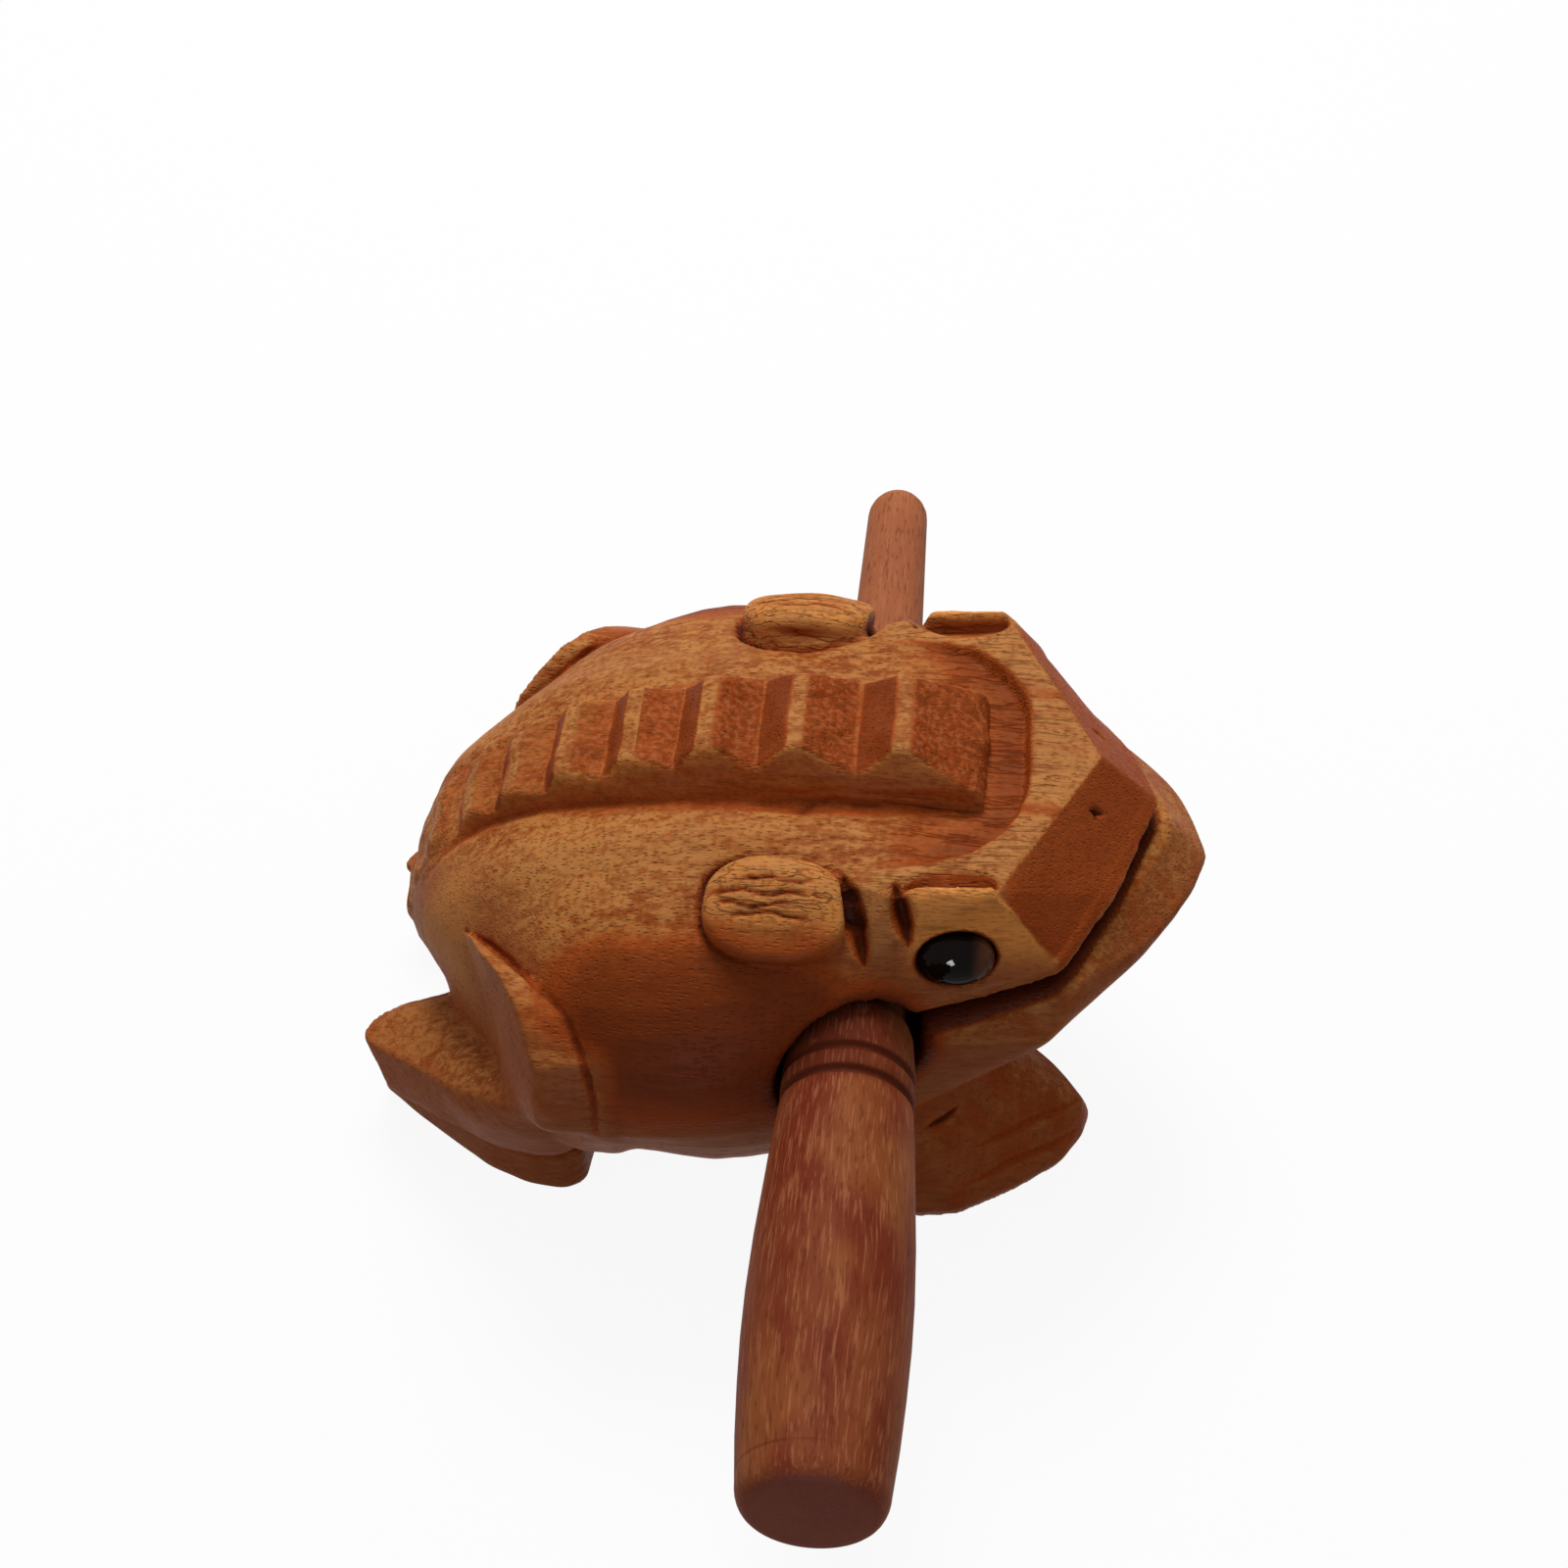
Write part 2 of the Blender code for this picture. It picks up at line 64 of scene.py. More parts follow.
camera = bpy.data.cameras.new("camera")
camera.sensor_width = SENSOR_WIDTH
camera.lens = LENS
camera.clip_start = NEAREST_SEEN
sight = CAMERA_SIGHT.normalized()
right = sight.cross(Vector((0, 0, 1))).normalized()
upward = right.cross(sight)
turn = Matrix((right, upward, -sight)).transposed() @ Matrix.Rotation(CAMERA_ROLL, 3, "Z")
camera_object = bpy.data.objects.new("camera", camera)
camera_object.matrix_world = Matrix.Translation(CAMERA_PLACE) @ turn.to_4x4()
bpy.context.scene.collection.objects.link(camera_object)
bpy.context.scene.camera = camera_object
bpy.context.scene.view_settings.view_transform = "Standard"
print("camera", [round(value, 3) for value in camera_object.location])

# %% [markdown]
# ## Wiring a finish
# A material is a graph of nodes. Joining nodes by hand hides the sum that they work out, so a small
# class wraps one socket: Python's own signs then add the Math nodes, and one method adds any other
# node from its type, its settings and what goes into its sockets.


# %% A socket that can be reckoned with
class Wire:
    """What comes out of a socket of a node."""

    def __init__(self, socket):
        self.socket = socket

    def node(self, kind, settings=(), inputs=(), out=0):
        """Adds a node to the same material: its settings first, then values or links."""
        tree = self.socket.id_data
        made = tree.nodes.new("ShaderNode" + kind)
        for name, value in dict(settings).items():
            setattr(made, name, value)
        for name, value in dict(inputs).items():
            plug(made.inputs[name], value)
        return Wire(made.outputs[out])

    def math(self, operation, first, second=0.0):
        """One Math node."""
        return self.node("Math", {"operation": operation}, {0: first, 1: second})

    def __add__(self, other):
        return self.math("ADD", self, other)

    def __sub__(self, other):
        return self.math("SUBTRACT", self, other)

    def __rsub__(self, other):
        return self.math("SUBTRACT", other, self)

    def __mul__(self, other):
        return self.math("MULTIPLY", self, other)

    __radd__ = __add__
    __rmul__ = __mul__

    def between(self, low, high):
        """0 at low, 1 at high, and a smooth rise between them."""
        settings = {"interpolation_type": "SMOOTHSTEP"}
        return self.node("MapRange", settings, {"Value": self, "From Min": low, "From Max": high})

    def fading(self, low, high):
        """1 at low, 0 at high, and a smooth fall between them."""
        return 1 - self.between(low, high)

    def scaled(self, scale):
        """A vector with each of its parts multiplied."""
        return self.node("VectorMath", {"operation": "MULTIPLY"}, {0: self, 1: scale})

    def moved(self, other):
        """A vector with another one added."""
        return self.node("VectorMath", {"operation": "ADD"}, {0: self, 1: other})

    def pick(self, first, second):
        """The first colour where this is 0, the second where it is 1."""
        return self.node("Mix", {"data_type": "RGBA"}, {0: self, 6: first, 7: second}, 2)

    def blend(self, colour, share):
        """This colour with a share of another one laid over it."""
        return share.pick(self, colour)

    def clouds(self, detail=2.0, rough=0.5, out=0):
        """Noise read at this place."""
        inputs = {"Vector": self, "Scale": 1.0, "Detail": detail, "Roughness": rough}
        return self.node("TexNoise", inputs=inputs, out=out)

    def attribute(self, name):
        """A layer that the mesh carries."""
        return self.node("Attribute", {"attribute_name": name}, out=2)


def plug(socket, value):
    """Links a wire to a socket, or sets a plain value on it."""
    if isinstance(value, Wire):
        socket.id_data.links.new(value.socket, socket)
    else:
        socket.default_value = value


def linear(red, green, blue):
    """A colour as it is seen on a screen, from 0 to 255, as the shader's linear colour."""
    shares = [value / 255 for value in (red, green, blue)]
    return (*[s / 12.92 if s <= 0.04045 else ((s + 0.055) / 1.055) ** 2.4 for s in shares], 1.0)


def start_finish(name):
    """A new material, its shader, and the place of each point in the frog's own metres."""
    material = bpy.data.materials.new(name)
    material.use_nodes = True
    shader = material.node_tree.nodes["Principled BSDF"]
    place = Wire(material.node_tree.nodes.new("ShaderNodeTexCoord").outputs["Object"])
    return material, shader, place


print("a wire has", [name for name in vars(Wire) if not name.startswith("__")])

# %% [markdown]
# ## The table and the light
# The frog was photographed on white, under a broad light from above that leaves its sides dark. The
# floor is a large sheet. More light would make it white but bleach the frog, so what the camera sees
# of it is mostly plain white, with a little of the real sheet mixed in to keep the frog's shadow. The
# world does the same for what is behind.

# %% Lay the floor
FLOOR_HALF = 3.0
FLOOR_WHITE_SHARE = 0.92
SEEN_PAPER = (0.9, 0.9, 0.9, 1.0)
DIM_PAPER = (0.22, 0.21, 0.20, 1.0)
WHITE = (1.0, 1.0, 1.0, 1.0)

floor_bm = bmesh.new()
bmesh.ops.create_grid(floor_bm, x_segments=1, y_segments=1, size=FLOOR_HALF)
floor_mesh = bpy.data.meshes.new("floor")
floor_bm.to_mesh(floor_mesh)
floor_bm.free()
floor = bpy.data.objects.new("floor", floor_mesh)
bpy.context.scene.collection.objects.link(floor)


def seen_rays(tree):
    """1 for rays that show the background: from the camera, in a gloss or through glass."""
    path = tree.nodes.new("ShaderNodeLightPath")
    shown = Wire(path.outputs["Is Camera Ray"])
    for name in ("Is Glossy Ray", "Is Transmission Ray"):
        shown = shown.math("MAXIMUM", shown, Wire(path.outputs[name]))
    return shown


paper = bpy.data.materials.new("paper")
paper.use_nodes = True
paper_tree = paper.node_tree
paper_shader = paper_tree.nodes["Principled BSDF"]
paper_shader.inputs["Roughness"].default_value = 0.9
paper_shader.inputs["Specular IOR Level"].default_value = 0.0
seen = seen_rays(paper_tree)
plug(paper_shader.inputs["Base Color"], seen.pick(DIM_PAPER, SEEN_PAPER))
white = seen.node("Emission", inputs={"Color": WHITE, "Strength": 1.0})
sheet = Wire(paper_shader.outputs[0])
mixed = seen.node("MixShader", inputs={0: seen * FLOOR_WHITE_SHARE, 1: sheet, 2: white})
plug(paper_tree.nodes["Material Output"].inputs["Surface"], mixed)
floor_mesh.materials.append(paper)
print("floor", [round(value, 2) for value in floor.dimensions])

# %% [markdown]
# ## Two lamps
# One broad lamp hangs above and behind the frog, and the world fills its shadows. The small second
# lamp stands low in front. It only gives the eye its bright spot, so matt surfaces ignore it.

# %% Light it from above
AMBIENT = 0.34
KEY_LAMP = {"place": (-0.06, 0.40, 0.74), "aim": (0, 0, 0.03), "size": 0.40, "watts": 4.8}
CATCH_LAMP = {
    "place": (0.006, -0.276, 0.036),
    "aim": (0.02, -0.028, 0.049),
    "size": 0.036,
    "watts": 0.32,
}

world = bpy.data.worlds.new("studio")
bpy.context.scene.world = world
world.use_nodes = True
behind = seen_rays(world.node_tree)
background = world.node_tree.nodes["Background"]
background.inputs["Color"].default_value = WHITE
plug(background.inputs["Strength"], behind * (1 - AMBIENT) + AMBIENT)


def soft_lamp(name, place, aim, size, watts):
    """A round lamp at a place, turned towards what it lights."""
    lamp = bpy.data.lights.new(name, "AREA")
    lamp.shape = "DISK"
    lamp.size = size
    lamp.energy = watts
    thing = bpy.data.objects.new(name, lamp)
    thing.location = place
    thing.rotation_euler = (Vector(aim) - Vector(place)).to_track_quat("-Z", "Y").to_euler()
    bpy.context.scene.collection.objects.link(thing)
    return thing


soft_lamp("key", **KEY_LAMP)
catch = soft_lamp("catch", **CATCH_LAMP)
catch.visible_diffuse = False
print("lamps", [lamp.name for lamp in bpy.data.lights])

# %% [markdown]
# ## The block of wood
# The real frog was sawn, chiselled and sanded from one block. The CAD solid has its planes and cuts
# with sharp edges. To carve on it, its mesh needs even, small faces everywhere, which the Remesh
# modifier gives, and a few passes of Smooth take the saw-sharp edges off as sanding does. Remesh
# leaves a few crumbs in the narrowest corners, which are taken away. The work is done in millimetres
# and scaled back at the end.

# %% Take the block and give it an even mesh
GRAIN_OF_MESH = 0.40
WELD = 0.005
SANDING_PASSES = 2
SANDING_STRENGTH = 0.5


def evaluated(thing):
    """The mesh of an object with its modifiers applied."""
    graph = bpy.context.evaluated_depsgraph_get()
    return bpy.data.meshes.new_from_object(thing.evaluated_get(graph))


def in_scene(name, mesh):
    """A new object of the scene that shows a mesh."""
    thing = bpy.data.objects.new(name, mesh)
    bpy.context.scene.collection.objects.link(thing)
    return thing


def drop_crumbs(mesh):
    """Keeps the shell with the most points, and gives the number of small ones taken away."""
    bm = bmesh.new()
    bm.from_mesh(mesh)
    left = set(bm.verts)
    shells = []
    while left:
        shell = [left.pop()]
        for vert in shell:
            found = [edge.other_vert(vert) for edge in vert.link_edges]
            fresh = left.intersection(found)
            left -= fresh
            shell.extend(fresh)
        shells.append(shell)
    shells.sort(key=len)
    crumbs = [vert for shell in shells[:-1] for vert in shell]
    bmesh.ops.delete(bm, geom=crumbs, context="VERTS")
    bm.to_mesh(mesh)
    bm.free()
    return len(shells) - 1


block_bm = bmesh.new()
block_bm.from_mesh(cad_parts["frog_body"].data)
bmesh.ops.scale(block_bm, vec=(1 / MM, 1 / MM, 1 / MM), verts=block_bm.verts)
bmesh.ops.remove_doubles(block_bm, verts=block_bm.verts, dist=WELD)
block_mesh = bpy.data.meshes.new("block")
block_bm.to_mesh(block_mesh)
block_bm.free()
block = in_scene("block", block_mesh)
even = block.modifiers.new("even", "REMESH")
even.mode = "VOXEL"
even.voxel_size = GRAIN_OF_MESH
sanding = block.modifiers.new("sanding", "SMOOTH")
sanding.factor = SANDING_STRENGTH
sanding.iterations = SANDING_PASSES
carved_mesh = evaluated(block)
bpy.data.objects.remove(block)
print("crumbs taken away", drop_crumbs(carved_mesh))
print("block", len(carved_mesh.vertices), "points,", len(carved_mesh.polygons), "faces")

# %% [markdown]
# ## Tools for carving
# Each cut is a line on the surface and a shape across it. Cuts could be sculpted by hand, but a line
# of a few points can be read and changed. Both sides of the frog are cut alike, so the lines are
# given on its left and every point is also known by its mirrored place. A hand never cuts twice the
# same way, so the mirrored places are first shaken by a slow noise. Besides moving points, the cuts
# note in a few layers where the wood is stained or has painted shade, where it is pale, where it has
# painted light and where it is torn.


# %% Read the points of the block
def read(items, name, width):
    """An array of one property of a mesh's points, edges or normals."""
    flat = np.empty(len(items) * width, np.float32)
    items.foreach_get(name, flat)
    return flat.astype(float).reshape(-1, width)


points = read(carved_mesh.vertices, "co", 3)
normals = read(carved_mesh.vertex_normals, "vector", 3)
ends = read(carved_mesh.edges, "vertices", 2).astype(int)
neighbours = np.bincount(ends.ravel(), minlength=len(points))


def spread(values, passes):
    """Each point's value as the mean over its neighbours, several times over."""
    for _ in range(passes):
        sums = [
            np.bincount(ends[:, 0], column[ends[:, 1]], len(points))
            + np.bincount(ends[:, 1], column[ends[:, 0]], len(points))
            for column in values.T
        ]
        values = 0.5 * values + 0.5 * np.column_stack(sums) / neighbours[:, None]
    return values


def refresh_normals():
    """Gives the mesh the moved points, and reads back how its surface now faces."""
    carved_mesh.vertices.foreach_set("co", points.astype(np.float32).ravel())
    carved_mesh.update()
    normals[:] = read(carved_mesh.vertex_normals, "vector", 3)


print("points", len(points), "edges", len(ends))


# %% Shapes that a cut can have
def rise(value, low, high):
    """0 up to low, 1 from high, and smooth between them."""
    share = np.clip((value - low) / (high - low), 0, 1)
    return share * share * (3 - 2 * share)


def fall(value, low, high):
    """1 up to low, 0 from high, and smooth between them."""
    return 1 - rise(value, low, high)


def hill(value, middle, width):
    """1 at the middle, and a bell's slope down on both sides."""
    return np.exp(-(((value - middle) / width) ** 2))


def tent(value, half_width):
    """1 at zero, and a straight slope down on both sides."""
    return np.clip(1 - np.abs(value) / half_width, 0, 1)


def lumps(size, seed):
    """Noise from about -1 to 1 at each point, with lumps of the given size."""
    shift = Vector((seed * 13.7, seed * 5.1, seed * 9.3))
    return np.array([noise.noise(Vector(point) / size + shift) for point in points])


HAND_SHAKE = 0.45
SHAKE_SIZE = 9.0

mirrored = np.column_stack([points[:, 0], np.abs(points[:, 1]), points[:, 2]])
mirrored[:, 0] += HAND_SHAKE * lumps(SHAKE_SIZE, 1)
mirrored[:, 2] += HAND_SHAKE * lumps(SHAKE_SIZE, 2)
x, y, z = mirrored.T
print("mirrored places reach", mirrored.max(axis=0).round(1))

# %% Make the chisels
LINE_REACH = 8.0
FAR = 1e6
LAYER_NAMES = ("stain_and_shade", "pale", "torn", "grain", "pale_and_painted_light")

layers = {name: np.zeros(len(points)) for name in LAYER_NAMES}


def from_line(line):
    """Each point's distance from a line of straight pieces, and its share of the way along it."""
    line = np.array(line, float)
    lengths = np.linalg.norm(np.diff(line, axis=0), axis=1)
    starts = np.concatenate([[0.0], np.cumsum(lengths)])
    best = np.full(len(points), FAR)
    place = np.zeros(len(points))
    inside = (mirrored > line.min(0) - LINE_REACH) & (mirrored < line.max(0) + LINE_REACH)
    near = np.flatnonzero(inside.all(axis=1))
    for a, b, start, length in zip(line, line[1:], starts, lengths):
        share = np.clip((mirrored[near] - a) @ (b - a) / length**2, 0, 1)
        gap = np.linalg.norm(mirrored[near] - a - share[:, None] * (b - a), axis=1)
        nearer = gap < best[near]
        best[near[nearer]] = gap[nearer]
        place[near[nearer]] = (start + share[nearer] * length) / starts[-1]
    return best, place


def push(depth):
    """Moves every point inwards along its normal, or outwards where the depth is negative."""
    points[:] = points - normals * depth[:, None]


def mark(layer, amount):
    """Notes an amount from 0 to 1 in a layer, where it is more than what is there."""
    layers[layer] = np.maximum(layers[layer], np.clip(amount, 0, 1))


def groove(line, depth, half_width, stain_and_shade=1.0, taper=0.5):
    """A V cut along a line, shallower and narrower towards its ends, darkened inside with stain and
    painted shade.
    """
    gap, place = from_line(line)
    swell = np.sin(np.pi * np.clip(place, 0.03, 0.97)) ** taper
    shape = tent(gap, half_width * swell)
    push(depth * swell * shape)
    mark("stain_and_shade", stain_and_shade * rise(shape, 0.0, 0.7))


print("layers", sorted(layers), "over", len(points), "points")

# %% [markdown]
# ## Softer limbs
# The legs, the feet and the lower jaw were rounded with a rasp, while the head and the ridge kept
# their crisp planes. A bevel would need clean edges to follow, so the mean of the neighbours is taken
# again instead, only where the wood is soft. That shrinks the wood, so a small swell follows, and the
# sole stays flat on the floor.


# %% Rasp the legs and the jaw
def rasp(weight, passes, swell):
    """Rounds the wood by a weight from 0 to 1 at each point."""
    softened = spread(points, passes)
    off_floor = rise(points[:, 2], 0.0, 0.5)
    points[:] = points + (weight * off_floor)[:, None] * (softened - points)
    refresh_normals()
    not_on_top = 1 - 0.8 * rise(normals[:, 2], 0.3, 0.8)
    outwards = swell * weight * rise(points[:, 2], 0.3, 2.0) * not_on_top
    points[:] = points + outwards[:, None] * normals


JAW_TRIM = 0.9
BELLY_TUCK = 1.2
SOLE_PASSES = 12
LIP_X, LIP_Z, LIP_SLOPE = 8.6, 37.7, 0.3

lip_line = LIP_Z + LIP_SLOPE * (x - LIP_X)
hind_leg = rise(-x, 22.0, 28.0) * fall(z, 17.0, 23.0) * rise(y, 9.0, 13.0)
thigh = rise(-x, 18.0, 21.0) * rise(y, 28.0, 32.0) * fall(z, 37.0, 41.0)
knee = rise(-x, 17.0, 20.0) * rise(y, 26.0, 30.0) * fall(z, 31.0, 37.0) * rise(z, 6.0, 10.0)
fore_leg = rise(x, 2.0, 8.0) * fall(z, 15.0, 19.0)
limbs = np.maximum.reduce((hind_leg, 0.8 * thigh, fore_leg))
jaw = rise(x, 13.0, 19.0) * fall(z - lip_line, -2.5, -1.5)
lips = rise(x, 9.0, 12.0) * fall(np.abs(z - lip_line - 0.3), 1.2, 2.2)

rasp(limbs, passes=14, swell=0.45)
rasp(knee, passes=40, swell=0.5)
rasp(hind_leg, passes=2, swell=0.7)
under_belly = hill(x, -17.0, 7.0) * rise(-normals[:, 2], 0.05, 0.5) * fall(z, 22.0, 28.0)
push(BELLY_TUCK * under_belly * rise(y, 15.0, 24.0) * (1 - hind_leg))
rasp(jaw * (1 - limbs), passes=34, swell=0.5)
rasp(lips, passes=16, swell=0.3)
side_of = np.sign(points[:, 1])
points[:, 1] -= side_of * JAW_TRIM * jaw * (1 - limbs) * rise(y, 12.0, 24.0)
sole = fall(points[:, 2], 0.4, 1.2)
points[:, :2] += sole[:, None] * (spread(points, SOLE_PASSES) - points)[:, :2]
print("rasped share", round(float(np.maximum(limbs, jaw).mean()), 3))

# %% [markdown]
# ## The two sides differ
# The two sides of a carved frog never match. The photograph shows a flatter far cheek, a fuller tail
# and a leaner near haunch, so a few round places are pared away or left proud by about a millimetre.
# Each place moves in one direction, the mean of the way that it faces: points that all moved along
# their own normals would part at an edge.

# %% Let the two sides differ
# The middle of each place, its reach and how much is pared away
HAND_CUTS = (
    ((32.5, 23.0, 47.5), 5.5, 1.0),
    ((37.5, 16.5, 46.5), 5.5, 1.2),
    ((45.0, 10.0, 38.5), 6.0, -0.7),
    ((-45.0, 10.0, 36.0), 8.0, -1.1),
    ((-22.0, 33.0, 44.0), 6.0, 0.9),
    ((28.5, 24.5, 50.5), 3.5, -0.7),
    ((-47.0, -10.0, 20.0), 6.0, 1.4),
    ((33.0, 22.5, 42.0), 5.0, 1.0),
)

refresh_normals()
for middle, reach, cut in HAND_CUTS:
    weight = hill(np.linalg.norm(points - middle, axis=1), 0.0, reach)
    facing = weight @ normals
    points[:] = points - cut * weight[:, None] * facing / np.linalg.norm(facing)
print("uneven places", len(HAND_CUTS))

# %% [markdown]
# ## The mouth, the bore and the flanks
# The mouth, the rim of the bore and the flanks are darkened. In the mouth and round the bore this is
# painted shade; down the flanks it is a stain with painted shade over it. It could be painted on, but
# the mouth can be found: it is where a ray straight up from the lower jaw meets the upper one. The
# jaw is rounded off just outside it, and the layers take the painted shade.

# %% Darken the mouth
MOUTH_COVER = 5.0
MOUTH_START = 10.0
LIP_ROUND = 0.9
RAY_LIFT = 0.05

refresh_normals()
faces = [tuple(face.vertices) for face in carved_mesh.polygons]
surface = BVHTree.FromPolygons([tuple(point) for point in points], faces)
covered = np.zeros(len(points))
for index in np.flatnonzero((x > MOUTH_START) & (np.abs(z - lip_line + 1.5) < 3.0)):
    start = Vector(points[index] + RAY_LIFT * normals[index])
    above = surface.ray_cast(start, Vector((0, 0, 1)), MOUTH_COVER)[0]
    covered[index] = above is not None and normals[index][2] > -0.2
roofed = spread(covered[:, None], 3)[:, 0]
in_mouth = rise(spread(covered[:, None], 8)[:, 0], 0.04, 0.35)
push(LIP_ROUND * in_mouth * rise(normals[:, 2], 0.2, 0.5) * fall(roofed, 0.2, 0.8))
rasp(in_mouth, passes=5, swell=0.0)
# Painted shade in the mouth, darkest where the upper jaw roofs it over
mark("stain_and_shade", np.maximum(1.2 * roofed, 0.85 * in_mouth))
print("covered points", int(covered.sum()))

# %% Darken the bore and the flanks
BORE_X, BORE_Z, BORE_RADIUS = 8.5, 35.0, 8.7
BORE_SHADE_REACH = 3.5

from_bore = np.hypot(x - BORE_X, z - BORE_Z)
# The flanks get a stain with painted shade over it
shaded_flank = rise(y + 2.5 * lumps(8.0, 10), 25.0, 31.0) * rise(z, 22.0, 36.0) * fall(x, 10.0, 16.0)
shaded_flank *= (1 - limbs) * rise(x, -34.0, -22.0)
tail_sides = rise(-x, 34.0, 42.0) * rise(z, 26.0, 32.0) * rise(y, 8.0, 13.0)
# Painted shade round the rim of the bore
mark("stain_and_shade", 0.85 * fall(from_bore, BORE_RADIUS, BORE_RADIUS + BORE_SHADE_REACH))
mark("stain_and_shade", 0.72 * shaded_flank)
# Painted shade on the faces that look down
mark("stain_and_shade", 0.45 * rise(-normals[:, 2], 0.3, 0.8))
mark("stain_and_shade", 0.18 * limbs + 0.25 * jaw * rise(lumps(3.0, 11), -0.2, 0.5))
# Painted sheen on the sides of the tail
mark("pale", 0.7 * tail_sides)
print("stained flank share", round(float(shaded_flank.mean()), 3))

# %% [markdown]
# ## The back and its ridge
# Along both sides of the ridge runs a valley, and the back swells a little beyond it. In front, a
# stop cut parts the back from the plate of the head. The crest of the ridge is a quarter of a
# superellipse, so each point's depth below it, and how far its face looks forwards, are worked out
# rather than picked by hand. The flat crests are rubbed pale. The front of each tooth was left torn
# across the end of the grain.

# %% Cut the valley
CREASE_X = (-46.0, -44.4, -40.4, -37.8, -35.2, -30.0, -25.0, -19.0, -13.0, -5.0, 22.0)
CREASE_Y = (7.2, 6.6, 6.2, 6.3, 6.6, 7.4, 8.0, 8.6, 9.0, 9.5, 9.3)
CREASE_DEPTH = 0.5
SHOULDER_RISE = 0.6

top_side = rise(normals[:, 2], 0.35, 0.75)
on_back = rise(z, 24.0, 34.0) * rise(x, -50.0, -40.0)
from_crease = y - np.interp(x, CREASE_X, CREASE_Y)
crease = on_back * fall(x, 20.0, 23.0)
push(CREASE_DEPTH * hill(from_crease, 0.2, 0.8) * crease)
# Painted shade along the bottom of the valley
mark("stain_and_shade", 0.65 * hill(from_crease, 0.1, 0.6) * crease)
mark("stain_and_shade", 0.4 * hill(from_crease, -0.4, 1.2) * crease)
shoulder = hill(y, 14.5, 3.2) * on_back * rise(x, -44.0, -30.0) * fall(x, 2.0, 12.0)
push(-SHOULDER_RISE * shoulder * top_side)
mark("pale", 0.6 * hill(y, 17.0, 5.0) * on_back * rise(x, -40.0, -30.0) * fall(x, -12.0, 0.0))
print("shoulder share", round(float(shoulder.mean()), 3))

# %% Sink the stop cut
STOP_CUT_X = (-2.0, 8.0, 16.6, 21.1, 24.4, 26.6, 27.5, 27.6)
STOP_CUT_Y = (20.0, 19.6, 18.6, 17.1, 14.0, 10.5, 7.5, -1.0)
CUT_FLOOR_X = (4.0, 16.0, 28.0)
CUT_FLOOR_Z = (56.5, 54.9, 54.3)


def from_plan_line(line):
    """Each point's distance from a line, seen from above."""
    best = np.full(len(points), FAR)
    plan = mirrored[:, :2]
    for a, b in zip(line, line[1:]):
        share = np.clip((plan - a) @ (b - a) / ((b - a) @ (b - a)), 0, 1)
        best = np.minimum(best, np.linalg.norm(plan - a - share[:, None] * (b - a), axis=1))
    return best


plan_gap = from_plan_line(np.column_stack([STOP_CUT_X, STOP_CUT_Y]))
behind_cut = (y < np.interp(x, STOP_CUT_X, STOP_CUT_Y)) & (x < STOP_CUT_X[-1])
inwards = np.where(behind_cut, plan_gap, -plan_gap)
off_ridge = np.maximum(rise(y, 8.4, 9.6), rise(x, 22.0, 22.7)) * rise(z, 50.0, 52.0)
cut_share = rise(inwards, -0.3, 0.8) * off_ridge
cut_floor = np.interp(x, CUT_FLOOR_X, CUT_FLOOR_Z)
points[:, 2] -= cut_share * np.maximum(points[:, 2] - cut_floor, 0)
front_floor = cut_share * rise(x + 4.0 * lumps(5.0, 8), 8.0, 18.0)
cut_wall_shade = hill(inwards, 0.3, 0.6) * rise(x, 6.0, 16.0) * off_ridge
plate_edge = rise(-inwards, 0.0, 0.5) * fall(-inwards, 3.0, 6.0) * rise(x, 6.0, 14.0) * off_ridge
# The floor of the stop cut is stained, with painted shade towards the wall; the wall has painted
# shade
mark("stain_and_shade", front_floor * (0.42 + 0.25 * fall(inwards, 2.5, 7.0)))
mark("stain_and_shade", 0.65 * cut_wall_shade)
mark("grain", 0.75 * front_floor)
mark("grain", 0.65 * plate_edge)
print("sunk share", round(float(cut_share.mean()), 3))

# %% Measure the ridge
CREST_X, CREST_Z = 8.0, 15.0
CREST_REACH, CREST_RISE = 59.6, 46.5
CREST_POWER = 2.25
CREST_HALF, CREST_TAPER = 6.5, 3.1
RIDGE_DRAFT = 0.5

back_share = np.maximum(CREST_X - x, 0) / CREST_REACH
up_share = np.maximum(z - CREST_Z, 0.01) / CREST_RISE
crest_size = (back_share**CREST_POWER + up_share**CREST_POWER) ** (1 / CREST_POWER)
depth = (1 - crest_size) * np.hypot(np.minimum(x - CREST_X, 0), z - CREST_Z)
back_slope = back_share ** (CREST_POWER - 1) / CREST_REACH
up_slope = up_share ** (CREST_POWER - 1) / CREST_RISE
forwards = (normals[:, 0] * up_slope + normals[:, 2] * back_slope) / np.hypot(back_slope, up_slope)
half_width = CREST_HALF - CREST_TAPER * (np.arctan2(back_share, up_share) * 2 / np.pi) ** 2
beside = y - half_width - RIDGE_DRAFT * np.maximum(depth, 0)
on_ridge = fall(beside, -0.3, 0.4) * fall(depth, 5.0, 6.5) * rise(z, 20.0, 26.0) * fall(x, 22.0, 23.0)
ridge_side = rise(beside, -0.2, 0.4) * fall(beside, 1.6, 2.4) * fall(depth, 6.5, 8.0)
ridge_side *= rise(z, 30.0, 40.0)
tooth_front = on_ridge * rise(forwards, 0.12, 0.3)
tooth_rear = on_ridge * rise(-forwards, 0.1, 0.3)
tooth_crest = on_ridge * fall(depth, 0.2, 0.75) * fall(np.abs(forwards), 0.2, 0.4)
print("ridge share", round(float(on_ridge.mean()), 3), "crests", round(float(tooth_crest.mean()), 4))

# %% Wear and stain the teeth, and paint light and shade on them
TOOTH_WAVES = 0.45
SIDE_SCRATCHES = 4
SCRATCH_DEPTH, SCRATCH_HALF = 0.35, 0.4

